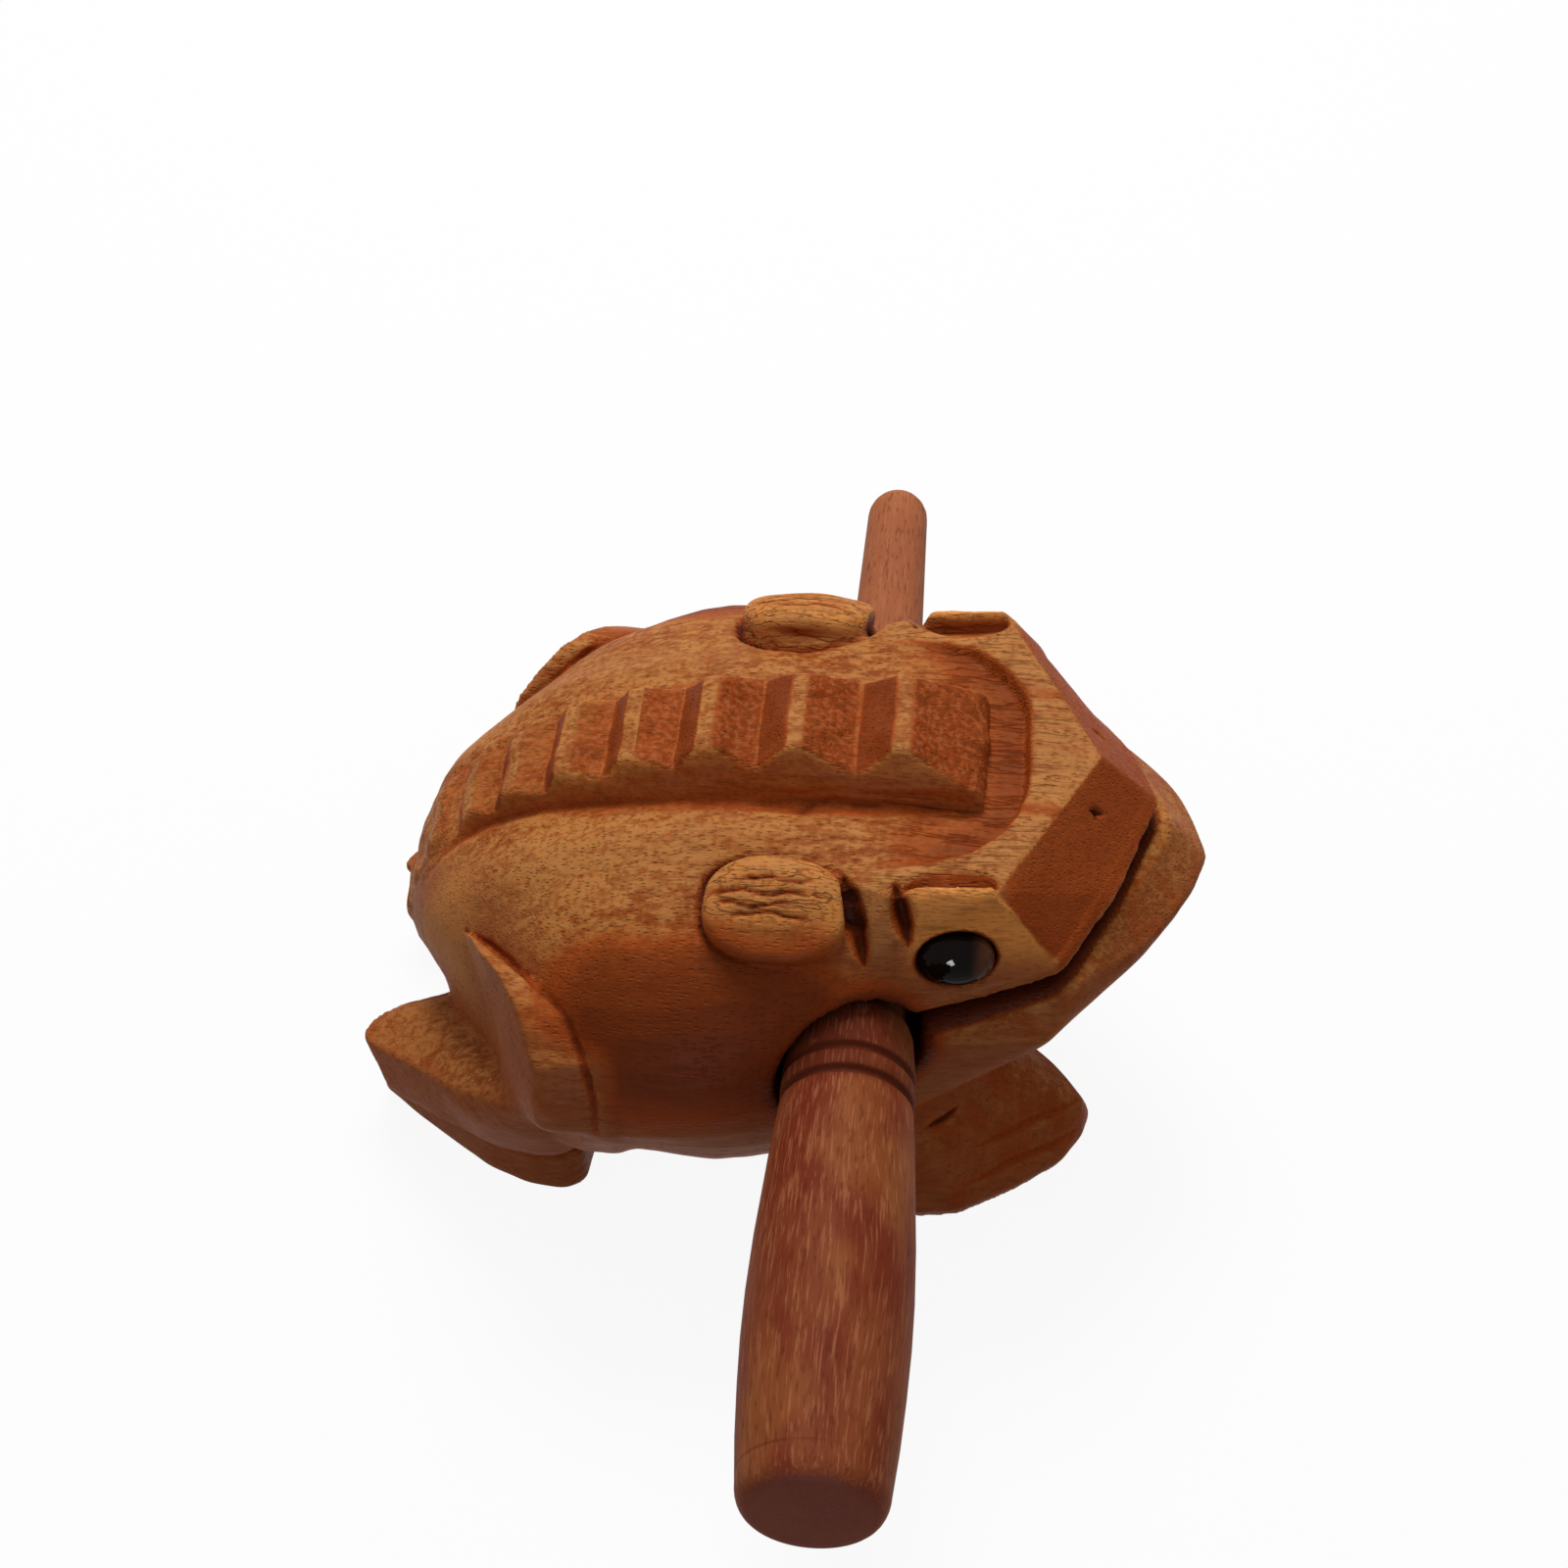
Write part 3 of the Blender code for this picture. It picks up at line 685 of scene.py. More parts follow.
rasp(0.9 * on_ridge, passes=6, swell=0.1)
push(TOOTH_WAVES * on_ridge * lumps(3.6, 12))
tooth_ends = np.maximum(on_ridge, ridge_side) * rise(np.abs(normals[:, 1]), 0.4, 0.7)
ridge_side_shade = ridge_side * (0.18 + 0.3 * rise(depth, 2.5, 5.0))
mark("torn", tooth_front)
mark("pale", 0.35 * tooth_crest)
# Painted light on the sideways ends of the teeth
mark("pale_and_painted_light", 0.5 * tooth_ends)
# Painted shade in the notches, on the backward walls and low on the ends and side of the ridge; the
# torn fronts take stain
mark("stain_and_shade", 0.25 * on_ridge * rise(depth, 0.4, 1.2))
mark("stain_and_shade", 0.7 * tooth_rear)
mark("stain_and_shade", tooth_front * (0.26 + 0.32 * rise(x, -34.0, -8.0)))
mark("stain_and_shade", tooth_ends * rise(depth, 0.6, 2.6) * (0.32 + 0.13 * rise(x, -30.0, -5.0)))
mark("stain_and_shade", ridge_side_shade * (0.65 + 0.35 * rise(x, -30.0, 0.0)))
for row in range(SIDE_SCRATCHES):
    line_depth = 3.7 + 0.85 * row - 0.035 * (x - 4.0 * row) + 0.12 * np.sin(0.7 * x + row)
    within = rise(x, -16.0 + 5.0 * row, -8.0 + 5.0 * row) * fall(x, 12.0 + 2.0 * row, 18.0 + row)
    scratch = tent(depth - line_depth, SCRATCH_HALF) * within * ridge_side
    push(SCRATCH_DEPTH * scratch)
    mark("stain_and_shade", 0.8 * scratch)
print("torn share", round(float(layers["torn"].mean()), 3))

# %% [markdown]
# ## Ears, brows and the cuts between them
# The ear drums are flat pads with a groove round them and a few wavy lines where the grain tore. They
# are rounded rectangles, for which a superellipse gives one number that is 1 all round the rim. Two
# leaf-shaped gouges part each ear from the eye, and a red arched one lies along the brow.

# %% Cut the ears
EAR_CENTRE = np.array((-0.8, 24.4, 52.4))
EAR_ACROSS = np.array((0.0, 0.864, -0.503))
EAR_NORMAL = np.array((0.0, 0.503, 0.864))
EAR_HALF_LENGTH = 8.6
EAR_HALF_WIDTH = 6.3
EAR_SQUARENESS = 2.5
EAR_SWELL, EAR_LIP = 0.55, 0.5
RIM_DEPTH, RIM_PLACE, RIM_HALF = 0.9, 1.03, 0.085
RIM_DEEPEST = math.radians(215)

from_ear = mirrored - EAR_CENTRE
ear_along = from_ear[:, 0]
ear_across = from_ear @ EAR_ACROSS
at_ear = fall(np.abs(from_ear @ EAR_NORMAL), 5.0, 7.0)
ear_shares = np.abs(np.column_stack([ear_along / EAR_HALF_LENGTH, ear_across / EAR_HALF_WIDTH]))
ear_radius = np.sum(ear_shares**EAR_SQUARENESS, axis=1) ** (1 / EAR_SQUARENESS)
ear_turn = np.arctan2(ear_across, ear_along)
rim_strength = 0.5 + 0.6 * np.cos(ear_turn - RIM_DEEPEST) + 0.4 * lumps(4.0, 6)
rim_strength = np.clip(rim_strength, 0.15, 1)
ear_flat = at_ear * fall(ear_radius, 0.86, 1.02)
ear_lip = at_ear * hill(ear_radius, 0.86, 0.14) * rise(ear_across, -1.0, 4.0)
push(-EAR_SWELL * ear_flat - EAR_LIP * ear_lip)
ear_rim = at_ear * tent(ear_radius - RIM_PLACE - 0.04 * lumps(5.0, 7), RIM_HALF)
push(RIM_DEPTH * ear_rim * rim_strength)
mark("stain_and_shade", rise(ear_rim, 0.1, 0.7) * rim_strength)
mark("pale", 0.8 * ear_flat)
mark("pale_and_painted_light", 0.5 * ear_flat)
mark("grain", 0.9 * at_ear * fall(ear_radius, 0.9, 1.3) * fall(ear_across, 0.0, 2.0))
print("ear share", round(float(ear_flat.mean()), 4))

# %% Tear lines across the ears
# The place of each line across the ear, and its two ends along it
EAR_LINES = ((-2.9, -5.5, 5.5), (-1.3, -8.6, 6.5), (0.0, -7.6, 3.0), (1.2, -6.0, 5.0))
EAR_LINE_DEPTH, EAR_LINE_HALF = 0.42, 0.36
RUN_OUT = 2.5

ear_shake = 0.35 * lumps(1.8, 9)
for row, (middle, start, end) in enumerate(EAR_LINES):
    wave = middle + ear_shake + 0.22 * np.sin(0.9 * ear_along + 1.9 * row)
    within = rise(ear_along, start, start + RUN_OUT) * fall(ear_along, end - RUN_OUT, end)
    scratch = tent(ear_across - wave, EAR_LINE_HALF) * within * at_ear
    push(EAR_LINE_DEPTH * scratch)
    mark("stain_and_shade", scratch)
print("lines on each ear", len(EAR_LINES))

# %% Cut the gouges and the brow
EAR_GOUGE = (
    (6.6, 19.6, 55.0),
    (7.6, 22.6, 54.0),
    (8.5, 25.6, 51.4),
    (9.3, 27.3, 48.9),
    (10.0, 28.6, 46.6),
)
EYE_GOUGE = ((12.6, 21.2, 55.4), (13.4, 24.0, 54.4), (14.2, 25.6, 52.2), (14.9, 26.6, 49.4))
BROW_START, BROW_END = 13.6, 25.2
BROW_Y = 22.6
BROW_REACH = 3.2
BROW_DEPTH = 2.0
BROW_SWELL = 0.7

groove(EAR_GOUGE, depth=2.8, half_width=1.8, taper=0.8)
groove(EYE_GOUGE, depth=2.5, half_width=1.6, taper=0.8)
brow_share = np.clip((x - BROW_START) / (BROW_END - BROW_START), 0, 1)
brow_arch = BROW_REACH * np.sin(np.pi * brow_share) ** 0.5 + 0.01
brow_gouge = np.clip(1 - (BROW_Y - y) / brow_arch, 0, 1) * rise(BROW_Y - y, -0.25, 0.2)
brow_gouge *= rise(x, BROW_START - 0.2, BROW_START + 0.8) * fall(x, BROW_END - 1.2, BROW_END)
brow_gouge *= rise(z, 52.0, 53.0)
push(BROW_DEPTH * brow_gouge)
mark("stain_and_shade", 0.65 * rise(brow_gouge, 0.0, 0.3))
brow_face = rise(x, BROW_START, BROW_START + 2.0) * rise(y, 22.4, 22.9)
brow_face *= fall(x - 0.81 * (56.0 - z), 24.0, 24.8)
push(-BROW_SWELL * brow_face * rise(z, 51.0, 55.0))
# The brow facet is paler wood, with painted light that grows towards its top edge
mark("pale_and_painted_light", brow_face * rise(z, 44.5, 51.0))
mark("pale", brow_face * rise(z, 50.5, 52.0))
print("deepest brow cut", round(float(BROW_DEPTH * brow_gouge.max()), 2), "mm")

# %% Cut the nostrils, and darken and lighten the face
NOSTRIL = ((35.2, 6.9, 53.7), (36.2, 6.6, 52.9), (36.8, 6.2, 52.4))
NOSTRIL_NICK = ((35.8, 6.6, 53.3), (36.1, 7.5, 52.5))
EYE_CENTRE = np.array((20.3, 26.2, 47.7))
EYE_HALF_LENGTH, EYE_HALF_HEIGHT = 4.4, 3.45

groove(NOSTRIL, depth=0.8, half_width=0.5, taper=0.3)
groove(NOSTRIL_NICK, depth=0.7, half_width=0.45, taper=0.3)
# Darker on the face of the nose that looks forwards
nose_face = rise(normals[:, 0], 0.4, 0.6) * rise(x, 24.0, 27.0) * rise(z - lip_line, 0.2, 1.0)
mark("stain_and_shade", 0.6 * nose_face)
from_eye = mirrored - EYE_CENTRE
eye_radius = np.hypot(from_eye[:, 0] / EYE_HALF_LENGTH, from_eye[:, 2] / EYE_HALF_HEIGHT)
# Painted shade round the eye, where its socket lies in shadow
mark("stain_and_shade", fall(eye_radius, 1.02, 1.2) * fall(np.abs(from_eye[:, 1]), 4.0, 5.0))
gouge_bridge = rise(x, 8.6, 9.4) * fall(x, 12.2, 13.2) * rise(y, 18.5, 20.5) * rise(z, 47.0, 50.0)
mark("pale", 0.7 * gouge_bridge)
plate = rise(z, 54.5, 55.5) * rise(x, 8.0, 20.0) * top_side
mark("pale", 0.85 * plate * rise(-inwards, 0.2, 1.0))
rump_sheen = rise(-x, 36.0, 43.0) * rise(z, 26.0, 32.0) * rise(y, 8.0, 13.0)
# Painted sheen on the rump
mark("pale_and_painted_light", 0.3 * rump_sheen)
print("pale share", round(float(layers["pale"].mean()), 3))

# %% [markdown]
# ## Legs and feet
# A groove parts each thigh from the belly and each shin from its foot, and two cuts make three toes
# on each fore foot. At the end the whole frog gets the slight waves that a hand leaves, and the torn
# faces their roughness. A bump in the finish would look the same from afar, but not at an edge.

# %% Cut the legs
THIGH_GROOVE = (
    (-39.4, 18.4, 38.2),
    (-35.7, 21.9, 40.0),
    (-32.5, 25.5, 41.2),
    (-28.9, 29.5, 42.0),
    (-26.2, 31.8, 41.3),
    (-24.5, 33.9, 40.4),
    (-23.2, 36.2, 38.3),
    (-22.0, 37.6, 36.0),
    (-21.2, 38.2, 33.0),
    (-20.9, 38.0, 28.0),
    (-20.4, 36.6, 22.0),
)
SHIN_GROOVE = ((-52.5, 18.2, 6.0), (-45.6, 23.4, 8.0), (-37.2, 27.6, 9.3), (-29.0, 29.4, 10.3))
INNER_TOE = (
    (37.0, 14.4, 6.9),
    (33.3, 17.1, 7.9),
    (30.2, 19.7, 8.5),
    (26.8, 22.3, 8.9),
    (23.6, 24.3, 9.4),
)
OUTER_TOE = (
    (37.2, 16.0, 4.0),
    (34.2, 19.2, 4.3),
    (31.7, 21.2, 4.6),
    (27.4, 24.3, 5.1),
    (23.0, 27.0, 5.0),
)
ARM_NICK = ((17.9, 25.2, 13.7), (20.2, 23.4, 13.8), (21.9, 21.6, 14.4))

groove(THIGH_GROOVE, depth=0.8, half_width=0.8, stain_and_shade=0.75, taper=0.35)
groove(SHIN_GROOVE, depth=0.7, half_width=1.3, stain_and_shade=0.6)
groove(INNER_TOE, depth=0.6, half_width=0.9, stain_and_shade=0.6)
groove(OUTER_TOE, depth=0.6, half_width=0.9, stain_and_shade=0.6)
groove(ARM_NICK, depth=0.7, half_width=0.7)
print("stain share", round(float(layers["stain_and_shade"].mean()), 3))

# %% Leave the marks of the hand
HAND_WAVES, HAND_DENTS = 0.22, 0.05
TEAR_DEPTH = 0.22

push(HAND_WAVES * lumps(8.0, 3) + HAND_DENTS * lumps(2.6, 4))
push(TEAR_DEPTH * layers["torn"] * lumps(0.9, 5))
points[:, 2] = np.maximum(points[:, 2], 0.0)
print("carved box", points.min(axis=0).round(1), points.max(axis=0).round(1))

# %% [markdown]
# ## Worn edges and dark hollows
# Handling rubs the stain off the edges. The hollows are darkened: some stain gathers there, and over
# it lies painted shade. Both are where a point stands out from, or lies below, the mean of the points
# round it, so they are measured, not placed one by one. The faces are then thinned where the surface
# is nearly flat, which keeps the piece light, and the layers are carried along.

# %% Measure edges and hollows
EDGE_PASSES, HOLLOW_PASSES, FACING_PASSES = 5, 45, 25
WORN_HEIGHT = 0.11
HOLLOW_DEPTH = 0.9

refresh_normals()
near_mean = spread(points, EDGE_PASSES)
broad_mean = spread(near_mean, HOLLOW_PASSES)
fine_height = np.sum((points - near_mean) * normals, axis=1)
broad_height = np.sum((points - broad_mean) * normals, axis=1)
layers["worn"] = np.clip(fine_height / WORN_HEIGHT, 0, 1)
# The hollows: some stain, and painted shade over it
layers["hollow_stain_and_shade"] = np.clip(-broad_height / HOLLOW_DEPTH, 0, 1)
# Painted shade, with a redder stain, on the faces that turn sideways, but not on the ridge
layers["sides"] = fall(spread(normals, FACING_PASSES)[:, 2], 0.45, 0.9)
layers["sides"] *= 1 - 0.9 * np.maximum(on_ridge, ridge_side)
for name, values in layers.items():
    layer = carved_mesh.attributes.new(name, "FLOAT", "POINT")
    layer.data.foreach_set("value", values.astype(np.float32))
print("edges stand out", np.percentile(fine_height, (2, 98)).round(3))
print("hollows lie below", np.percentile(broad_height, (2, 98)).round(3))

# %% Thin the mesh
FROG_TRIANGLES = 185000

rough_frog = in_scene("rough_frog", carved_mesh)
thinning = rough_frog.modifiers.new("thinning", "DECIMATE")
thinning.ratio = FROG_TRIANGLES / (2 * len(carved_mesh.polygons))
frog_mesh = evaluated(rough_frog)
bpy.data.objects.remove(rough_frog)
frog_mesh.transform(Matrix.Scale(MM, 4))
frog_mesh.materials.clear()
frog_mesh.shade_smooth()
frog = in_scene("carved_frog", frog_mesh)
frog_mesh.calc_loop_triangles()
kept_layers = [name for name in layers if name in frog_mesh.attributes]
print("frog", len(frog_mesh.loop_triangles), "triangles, layers", kept_layers)

# %% [markdown]
# ## The carved wood
# The frog's wood is an orange brown with its grain from tail to nose. Wave textures draw rings too
# evenly, so one noise, drawn out along the grain, gives fibres on the sides and specks on the end
# grain at once. Dark pores are drawn-out cells of which only some are kept. Over that lie the worn
# edges, the pale rubbed planes, painted light and sheen, painted shade on the sides, and the red
# stain with painted shade in the cuts and hollows, each from its own layer.

# %% Draw the grain and the pores
# How many lumps each noise has in a metre along the grain, across it and upwards
BEND_LUMPS = (22.0, 22.0, 22.0)
FIGURE_LUMPS = (14.0, 150.0, 150.0)
FIBRE_LUMPS = (110.0, 1300.0, 1300.0)
HAIR_LUMPS = (300.0, 3600.0, 3600.0)
BLOTCH_LUMPS = (75.0, 95.0, 95.0)
MOTTLE_LUMPS = (380.0, 1050.0, 1050.0)
GRIT_LUMPS = (1300.0, 1300.0, 1300.0)
TEAR_LUMPS = (70.0, 620.0, 620.0)
PORE_CELLS = (900.0, 2700.0, 2700.0)
BEND = (0.0, 0.0022, 0.0022)

wood, wood_shader, place = start_finish("carved_wood")
bent = place.moved(place.scaled(BEND_LUMPS).clouds(1.0, out=1).scaled(BEND))
figure = bent.scaled(FIGURE_LUMPS).clouds(3.0)
fibre = bent.scaled(FIBRE_LUMPS).clouds(3.0, 0.6)
hair = bent.scaled(HAIR_LUMPS).clouds(1.0)
blotch = place.scaled(BLOTCH_LUMPS).clouds(4.0, 0.6)
mottle = bent.scaled(MOTTLE_LUMPS).clouds(3.0, 0.6)
grit = place.scaled(GRIT_LUMPS).clouds(3.0)
tear = bent.scaled(TEAR_LUMPS).clouds(2.0, 0.6)
tear_line = tear.math("ABSOLUTE", tear - 0.5).fading(0.0, 0.035)
cell = {"Vector": bent.scaled(PORE_CELLS), "Scale": 1.0}
pore_middle = place.node("TexVoronoi", inputs=cell)
pore_kind = place.node("SeparateColor", inputs={0: place.node("TexVoronoi", inputs=cell, out=1)})
pore = pore_middle.fading(0.15, 0.5) * pore_kind.between(0.3, 0.6)
print("grain and pores", len(wood.node_tree.nodes), "nodes")

# %% Lay the colours of the wood
TAN = linear(194, 124, 61)
ORANGE_RED = linear(148, 70, 26)
SHADED_SIDE_RED = linear(160, 86, 46)
PALE_TAN = linear(188, 126, 70)
BROW_TAN = linear(250, 160, 78)
PALE_PINK = linear(184, 110, 70)
RED_GLAZE_AND_SHADE = linear(160, 66, 19)
DARK_STAIN_AND_SHADE = linear(66, 22, 8)
PORE_BROWN = linear(118, 60, 24)

stain_and_shade = place.attribute("stain_and_shade")
torn = place.attribute("torn")
grain = place.attribute("grain")
worn = place.attribute("worn")
hollow_stain_and_shade = place.attribute("hollow_stain_and_shade")
pale = place.attribute("pale")
pale_and_painted_light = place.attribute("pale_and_painted_light")
sides = place.attribute("sides")
upper = 1 - sides
bare = 1 - stain_and_shade

shade = figure * 0.2 + blotch * 0.35 + (1 - mottle) * 0.45
tone = shade.between(0.43, 0.58).pick(TAN, ORANGE_RED)
# Painted shade, redder, on the faces that turn sideways
tone = tone.blend(SHADED_SIDE_RED, sides * 0.85)
tone = tone.blend(PALE_TAN, pale * (0.5 + 0.4 * fibre.between(0.35, 0.55)))
# Pale wood of the ears and brow, painted light on the brow and teeth ends, and a painted sheen on the
# rump
tone = tone.blend(BROW_TAN, pale_and_painted_light * (0.8 + 0.2 * blotch.between(0.4, 0.6)))
tone = tone.blend(PALE_TAN, worn * 0.4 * mottle.between(0.35, 0.6))
# A red glaze for stain and painted shade in the hollows and cuts, and a dark one in the deepest
tone = tone.blend(RED_GLAZE_AND_SHADE, hollow_stain_and_shade * 0.5)
tone = tone.blend(RED_GLAZE_AND_SHADE, stain_and_shade.between(0.0, 0.5) * 0.88)
tone = tone.blend(PORE_BROWN, fibre.between(0.48, 0.7) * 0.45)
tone = tone.blend(PALE_TAN, hair.fading(0.30, 0.48) * 0.22 * bare * upper)
tone = tone.blend(PALE_TAN, mottle.between(0.48, 0.62) * 0.6 * stain_and_shade.fading(0.0, 0.3) * upper)
tone = tone.blend(PALE_TAN, grit.between(0.5, 0.62) * 0.3 * bare * upper)
tone = tone.blend(ORANGE_RED, grit.fading(0.36, 0.48) * 0.55 * upper)
tone = tone.blend(PORE_BROWN, pore * 0.5 * upper * (1 - 0.5 * pale) * stain_and_shade.fading(0.0, 0.25))
tone = tone.blend(PALE_TAN, grain * tear.between(0.5, 0.62) * bare * 0.5)
tone = tone.blend(DARK_STAIN_AND_SHADE, grain * tear_line * 0.6)
tone = tone.blend(DARK_STAIN_AND_SHADE, torn * grit.between(0.46, 0.62) * 0.36)
tone = tone.blend(PALE_PINK, torn * grit.fading(0.36, 0.5) * 0.45)
tone = tone.blend(DARK_STAIN_AND_SHADE, stain_and_shade.between(0.45, 1.0) * 0.9)
plug(wood_shader.inputs["Base Color"], tone)
print("wood colours", len(wood.node_tree.nodes), "nodes")

# %% Give the wood its surface
WOOD_GLOSS = 0.04
WOOD_RELIEF = 0.00025

plug(wood_shader.inputs["Roughness"], 0.46 + 0.2 * torn + 0.1 * fibre)
wood_shader.inputs["Specular IOR Level"].default_value = WOOD_GLOSS
relief = fibre * 0.5 + hair * 0.3 - pore * 0.9 + mottle * 0.5
relief = relief + torn * grit * 1.5 - grain * tear_line * 1.5
wood_bump = {"Strength": 0.6, "Distance": WOOD_RELIEF, "Height": relief}
plug(wood_shader.inputs["Normal"], relief.node("Bump", inputs=wood_bump))
frog_mesh.materials.append(wood)
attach(frog, "frog")
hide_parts("frog_body")
print("carved wood", len(wood.node_tree.nodes), "nodes")

# %% [markdown]
# ## The stick
# The stick was turned on a lathe: a fat handle with two rings cut at its collar, and a slender shaft.
# Cylinders and cones would show a step where they meet. A lathe is a spin, so the outline is drawn
# once as a row of points and spun round the stick's axis.

# %% Draw the stick's outline
END_Y, TIP_Y = -91.5, 70.5
FACE_RADIUS, FACE_ROUND, FACE_STEPS = 6.5, 3.0, 8
HANDLE = (
    (-88.5, 8.3),
    (-83.0, 8.8),
    (-77.0, 9.15),
    (-71.0, 9.37),
    (-65.0, 9.38),
    (-58.0, 9.15),
    (-50.0, 8.65),
    (-44.0, 8.3),
)
COLLAR_Y, COLLAR_RADIUS = -39.2, 7.9
NECK_END_Y, NECK_RADIUS = -29.0, 7.3
SHAFT_ROOT_Y, SHAFT_ROOT_RADIUS = -27.0, 6.2
SHAFT_TIP_RADIUS, SHAFT_STEPS = 4.2, 12
TIP_ROUND, TIP_STEPS = 4.5, 7
RING_PLACES = (COLLAR_Y + 0.4, COLLAR_Y + 3.8)
RING_WIDTH, RING_DEPTH, RING_STEPS = 1.5, 0.65, 8


def ring(middle):
    """A rounded groove that goes round the collar."""
    row = []
    for k in range(RING_STEPS + 1):
        share = k / RING_STEPS
        sunk = RING_DEPTH * math.sin(math.pi * share) ** 1.5
        row.append((middle + RING_WIDTH * (share - 0.5), COLLAR_RADIUS - sunk))
    return row


outline = [(END_Y, 0.0), (END_Y, FACE_RADIUS - 0.5)]
for k in range(1, FACE_STEPS + 1):
    angle = math.radians(90) * k / FACE_STEPS
    radius = FACE_RADIUS + (HANDLE[0][1] - FACE_RADIUS) * math.sin(angle)
    outline.append((END_Y + FACE_ROUND * (1 - math.cos(angle)), radius))
outline += HANDLE[1:]
for ring_y in RING_PLACES:
    outline += ring(ring_y)
outline.append((NECK_END_Y, NECK_RADIUS))
outline.append((NECK_END_Y + 1.2, NECK_RADIUS - 0.4))
outline.append((SHAFT_ROOT_Y, SHAFT_ROOT_RADIUS))
shaft_end = TIP_Y - TIP_ROUND
for k in range(1, SHAFT_STEPS + 1):
    share = k / SHAFT_STEPS
    radius = SHAFT_ROOT_RADIUS + (SHAFT_TIP_RADIUS - SHAFT_ROOT_RADIUS) * share
    outline.append((SHAFT_ROOT_Y + (shaft_end - SHAFT_ROOT_Y) * share, radius))
for k in range(1, TIP_STEPS + 1):
    angle = math.radians(90) * k / TIP_STEPS
    outline.append((shaft_end + TIP_ROUND * math.sin(angle), SHAFT_TIP_RADIUS * math.cos(angle)))
print("outline", len(outline), "points, from", outline[0][0], "to", outline[-1][0])

# %% Turn the stick
STICK_X, STICK_Z = 8.5, 34.5
STICK_SIDES = 96
SHARP_EDGE = math.radians(50)

stick_bm = bmesh.new()
row = [stick_bm.verts.new((radius, along, 0.0)) for along, radius in outline]
rim = [stick_bm.edges.new(pair) for pair in zip(row, row[1:])]
bmesh.ops.spin(
    stick_bm,
    geom=row + rim,
    angle=math.tau,
    steps=STICK_SIDES,
    axis=(0, 1, 0),
    cent=(0, 0, 0),
    use_merge=True,
)
bmesh.ops.remove_doubles(stick_bm, verts=stick_bm.verts, dist=0.001)
bmesh.ops.recalc_face_normals(stick_bm, faces=stick_bm.faces)
bmesh.ops.translate(stick_bm, vec=(STICK_X, 0, STICK_Z), verts=stick_bm.verts)
bmesh.ops.scale(stick_bm, vec=(MM, MM, MM), verts=stick_bm.verts)
stick_mesh = bpy.data.meshes.new("turned_stick")
stick_bm.to_mesh(stick_mesh)
stick_bm.free()
stick_mesh.shade_smooth()
stick_mesh.set_sharp_from_angle(angle=SHARP_EDGE)
stick = in_scene("turned_stick", stick_mesh)
print("stick", len(stick_mesh.polygons), "faces")

# %% [markdown]
# ## The stick's wood
# The stick is a darker, redder wood with its fibres along it, and the handle is darker than the
# shaft. The rings hold stain, the end face is dull, a thin line was scribed near the end, and the
# part that goes into the bore has painted shade. All of them lie at a place along the stick, so one
# coordinate tells where each begins and ends.

# %% Draw the fibres of the stick
# How many lumps each noise has in a metre across the stick, along it and upwards
STICK_BEND_LUMPS = (30.0, 30.0, 30.0)
STICK_FIGURE_LUMPS = (150.0, 50.0, 150.0)
PATCH_LUMPS = (110.0, 70.0, 110.0)
STICK_FIBRE_LUMPS = (2900.0, 150.0, 2900.0)
FLECK_LUMPS = (2300.0, 420.0, 2300.0)
STICK_BEND = (0.002, 0.0, 0.002)
PATCH_SHIFT = (5.0, 5.0, 5.0)

stick_wood, stick_shader, place = start_finish("turned_wood")
bent = place.moved(place.scaled(STICK_BEND_LUMPS).clouds(1.0, out=1).scaled(STICK_BEND))
figure = bent.scaled(STICK_FIGURE_LUMPS).clouds(3.0)
patch = bent.scaled(PATCH_LUMPS).moved(PATCH_SHIFT).clouds(2.0)
fibre = bent.scaled(STICK_FIBRE_LUMPS).clouds(3.0, 0.6)
fleck = bent.scaled(FLECK_LUMPS).clouds(2.0)
along = place.node("SeparateXYZ", inputs={0: place}, out=1)
print("fibres", len(stick_wood.node_tree.nodes), "nodes")

# %% Finish the stick
MAHOGANY = linear(134, 68, 38)
RED_MAHOGANY = linear(116, 46, 25)
OCHRE = linear(150, 86, 45)
DEEP_MAHOGANY = linear(84, 32, 14)
PALE_FIBRE = linear(192, 124, 84)
PALE_SHAFT = linear(186, 112, 74)
END_BROWN = linear(124, 60, 44)
SCRIBED_Y = -87.4
SCRIBED_HALF = 0.3
STICK_GLOSS = 0.06
STICK_RELIEF = 0.0002

shaft = along.between(0.0, 0.04)
# Painted shade where the stick goes into the bore
shaded_neck = along.between((COLLAR_Y - 1.5) * MM, (COLLAR_Y + 0.5) * MM) * (1 - shaft)
end_face = along.fading((END_Y + 0.1) * MM, (END_Y + 1.4) * MM)
scribed = along.math("ABSOLUTE", along - SCRIBED_Y * MM).fading(0.0, SCRIBED_HALF * MM)

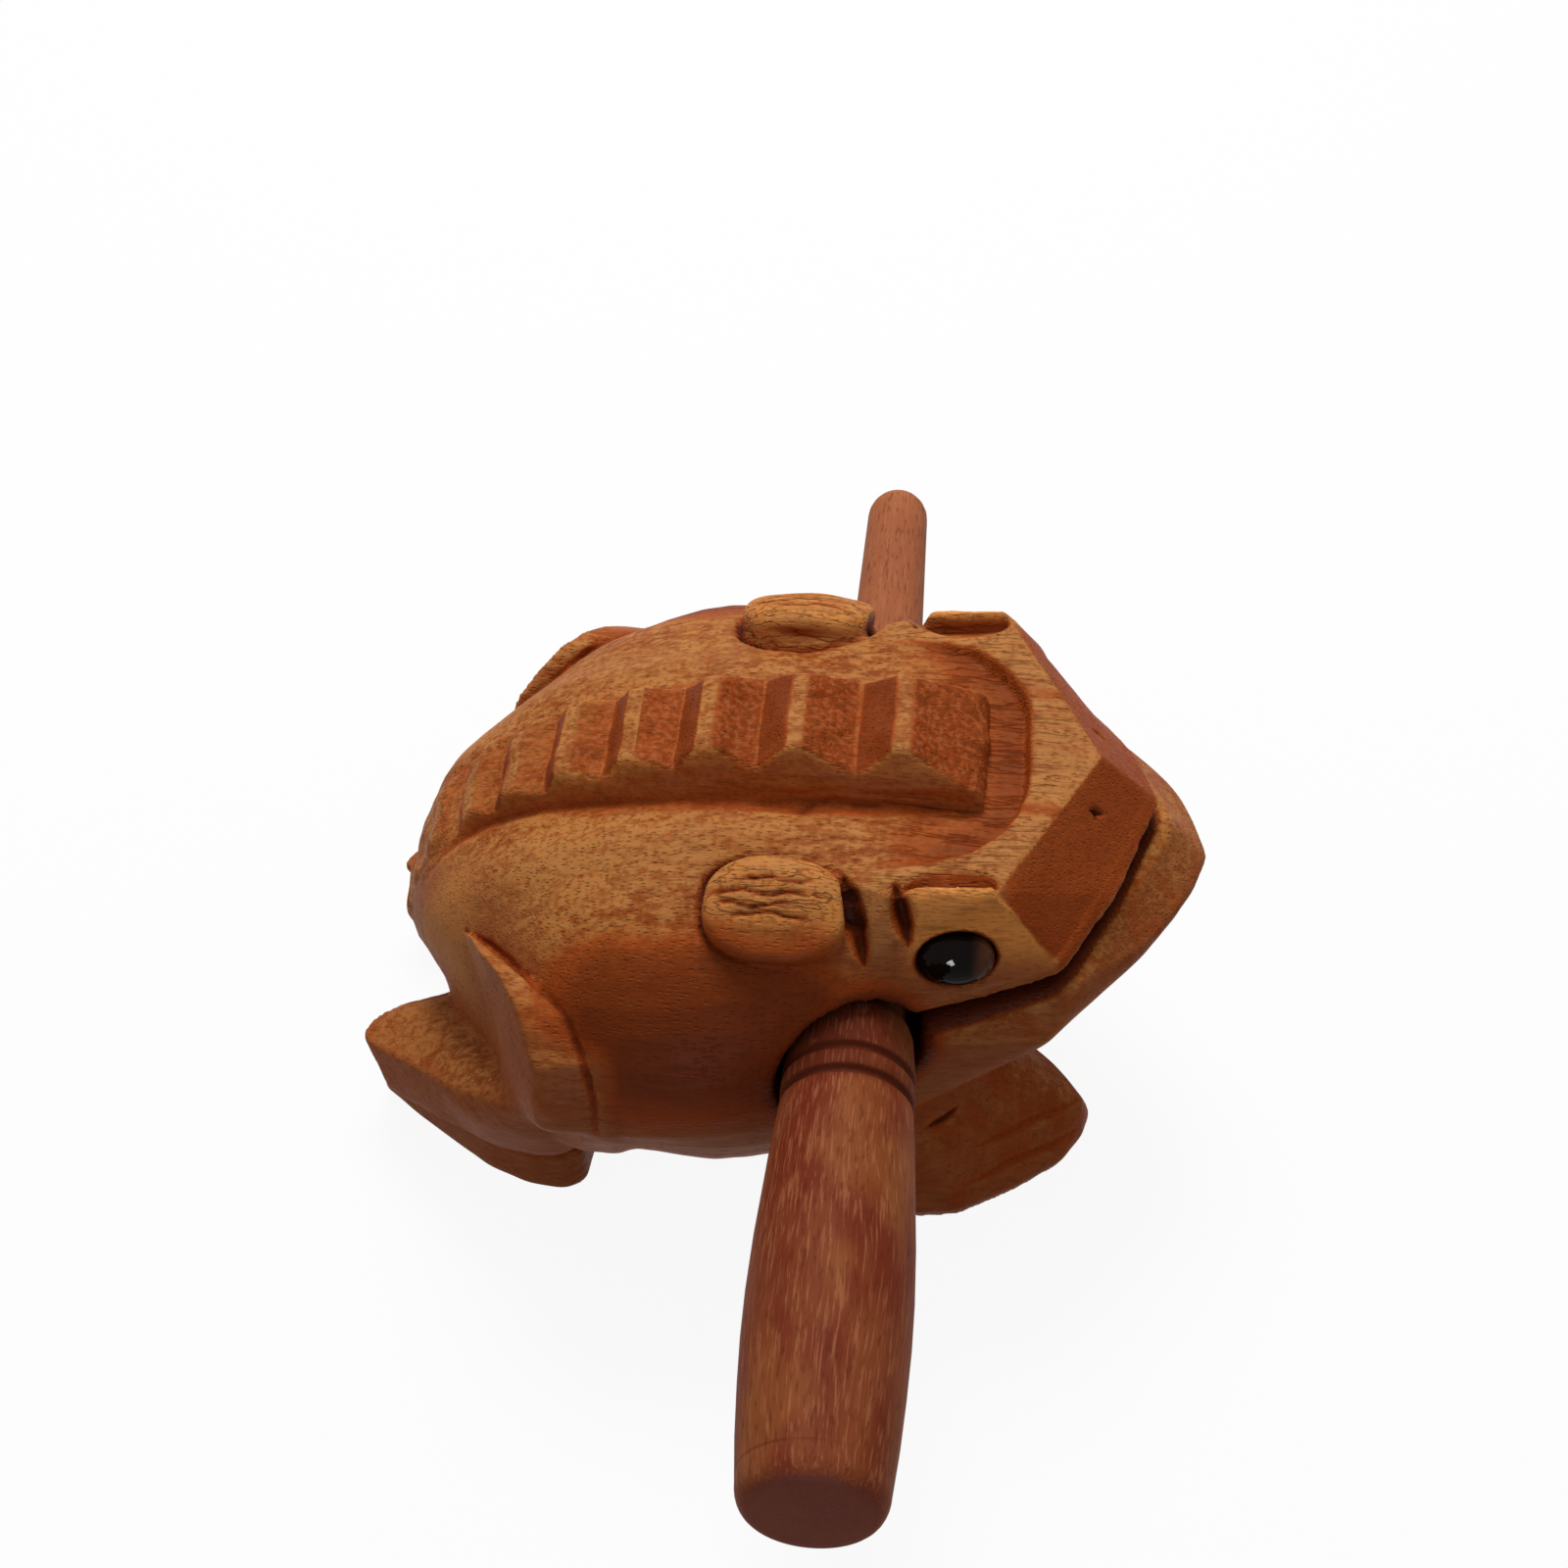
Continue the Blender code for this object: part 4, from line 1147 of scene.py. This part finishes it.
tone = figure.between(0.38, 0.62).pick(MAHOGANY, RED_MAHOGANY)
tone = tone.blend(OCHRE, patch.between(0.5, 0.65) * 0.6)
tone = tone.blend(PALE_SHAFT, shaft * 0.6)
tone = tone.blend(PALE_FIBRE, fibre.between(0.5, 0.66) * 0.38)
tone = tone.blend(DEEP_MAHOGANY, fleck.between(0.54, 0.7) * 0.45)
tone = tone.blend(DEEP_MAHOGANY, shaded_neck * 0.35)
tone = tone.blend(END_BROWN, end_face * 0.8)
for ring_y in RING_PLACES:
    ring_gap = along.math("ABSOLUTE", along - ring_y * MM)
    in_ring = ring_gap.fading(0.3 * RING_WIDTH * MM, 0.65 * RING_WIDTH * MM)
    tone = tone.blend(DEEP_MAHOGANY, 0.85 * in_ring)
tone = tone.blend(DEEP_MAHOGANY, scribed * patch.between(0.4, 0.55) * 0.5)
plug(stick_shader.inputs["Base Color"], tone)
plug(stick_shader.inputs["Roughness"], 0.52 + 0.15 * fibre)
stick_shader.inputs["Specular IOR Level"].default_value = STICK_GLOSS
relief = fibre * 0.6 - fleck * 0.4
stick_bump = {"Strength": 0.5, "Distance": STICK_RELIEF, "Height": relief}
plug(stick_shader.inputs["Normal"], relief.node("Bump", inputs=stick_bump))
stick_mesh.materials.append(stick_wood)
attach(stick, "stick")
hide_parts("striker_stick")
print("turned wood", len(stick_wood.node_tree.nodes), "nodes")

# %% [markdown]
# ## The eyes
# Each eye is a bead of almost black glass in a round socket. A new sphere could be made, but the CAD
# beads already have the right shape, so they stay and only get a glass, with a painted brown
# reflection towards the front.

# %% Finish the eyes
GLASS_BLACK = linear(22, 13, 10)
PAINTED_REFLECTION_BROWN = linear(112, 66, 44)
REFLECTION_START, REFLECTION_FULL = 1.4, 3.4
SPECK_LUMPS = (600.0, 600.0, 600.0)
GLASS_ROUGHNESS = 0.06
GLASS_GLOSS = 0.05

glass, glass_shader, place = start_finish("dark_glass")
specks = place.scaled(SPECK_LUMPS).clouds(2.0)
forward = place.node("SeparateXYZ", inputs={0: place})
# A painted brown reflection towards the front of each bead
painted_reflection_side = forward.between((EYE_CENTRE[0] + REFLECTION_START) * MM, (EYE_CENTRE[0] + REFLECTION_FULL) * MM)
painted_reflection_share = painted_reflection_side * (0.4 + specks * 0.8)
plug(glass_shader.inputs["Base Color"], painted_reflection_share.pick(GLASS_BLACK, PAINTED_REFLECTION_BROWN))
glass_shader.inputs["Roughness"].default_value = GLASS_ROUGHNESS
glass_shader.inputs["Specular IOR Level"].default_value = GLASS_GLOSS
for name in ("right_eye", "left_eye"):
    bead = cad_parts[name]
    bead.data.materials.clear()
    bead.data.materials.append(glass)

# %% [markdown]
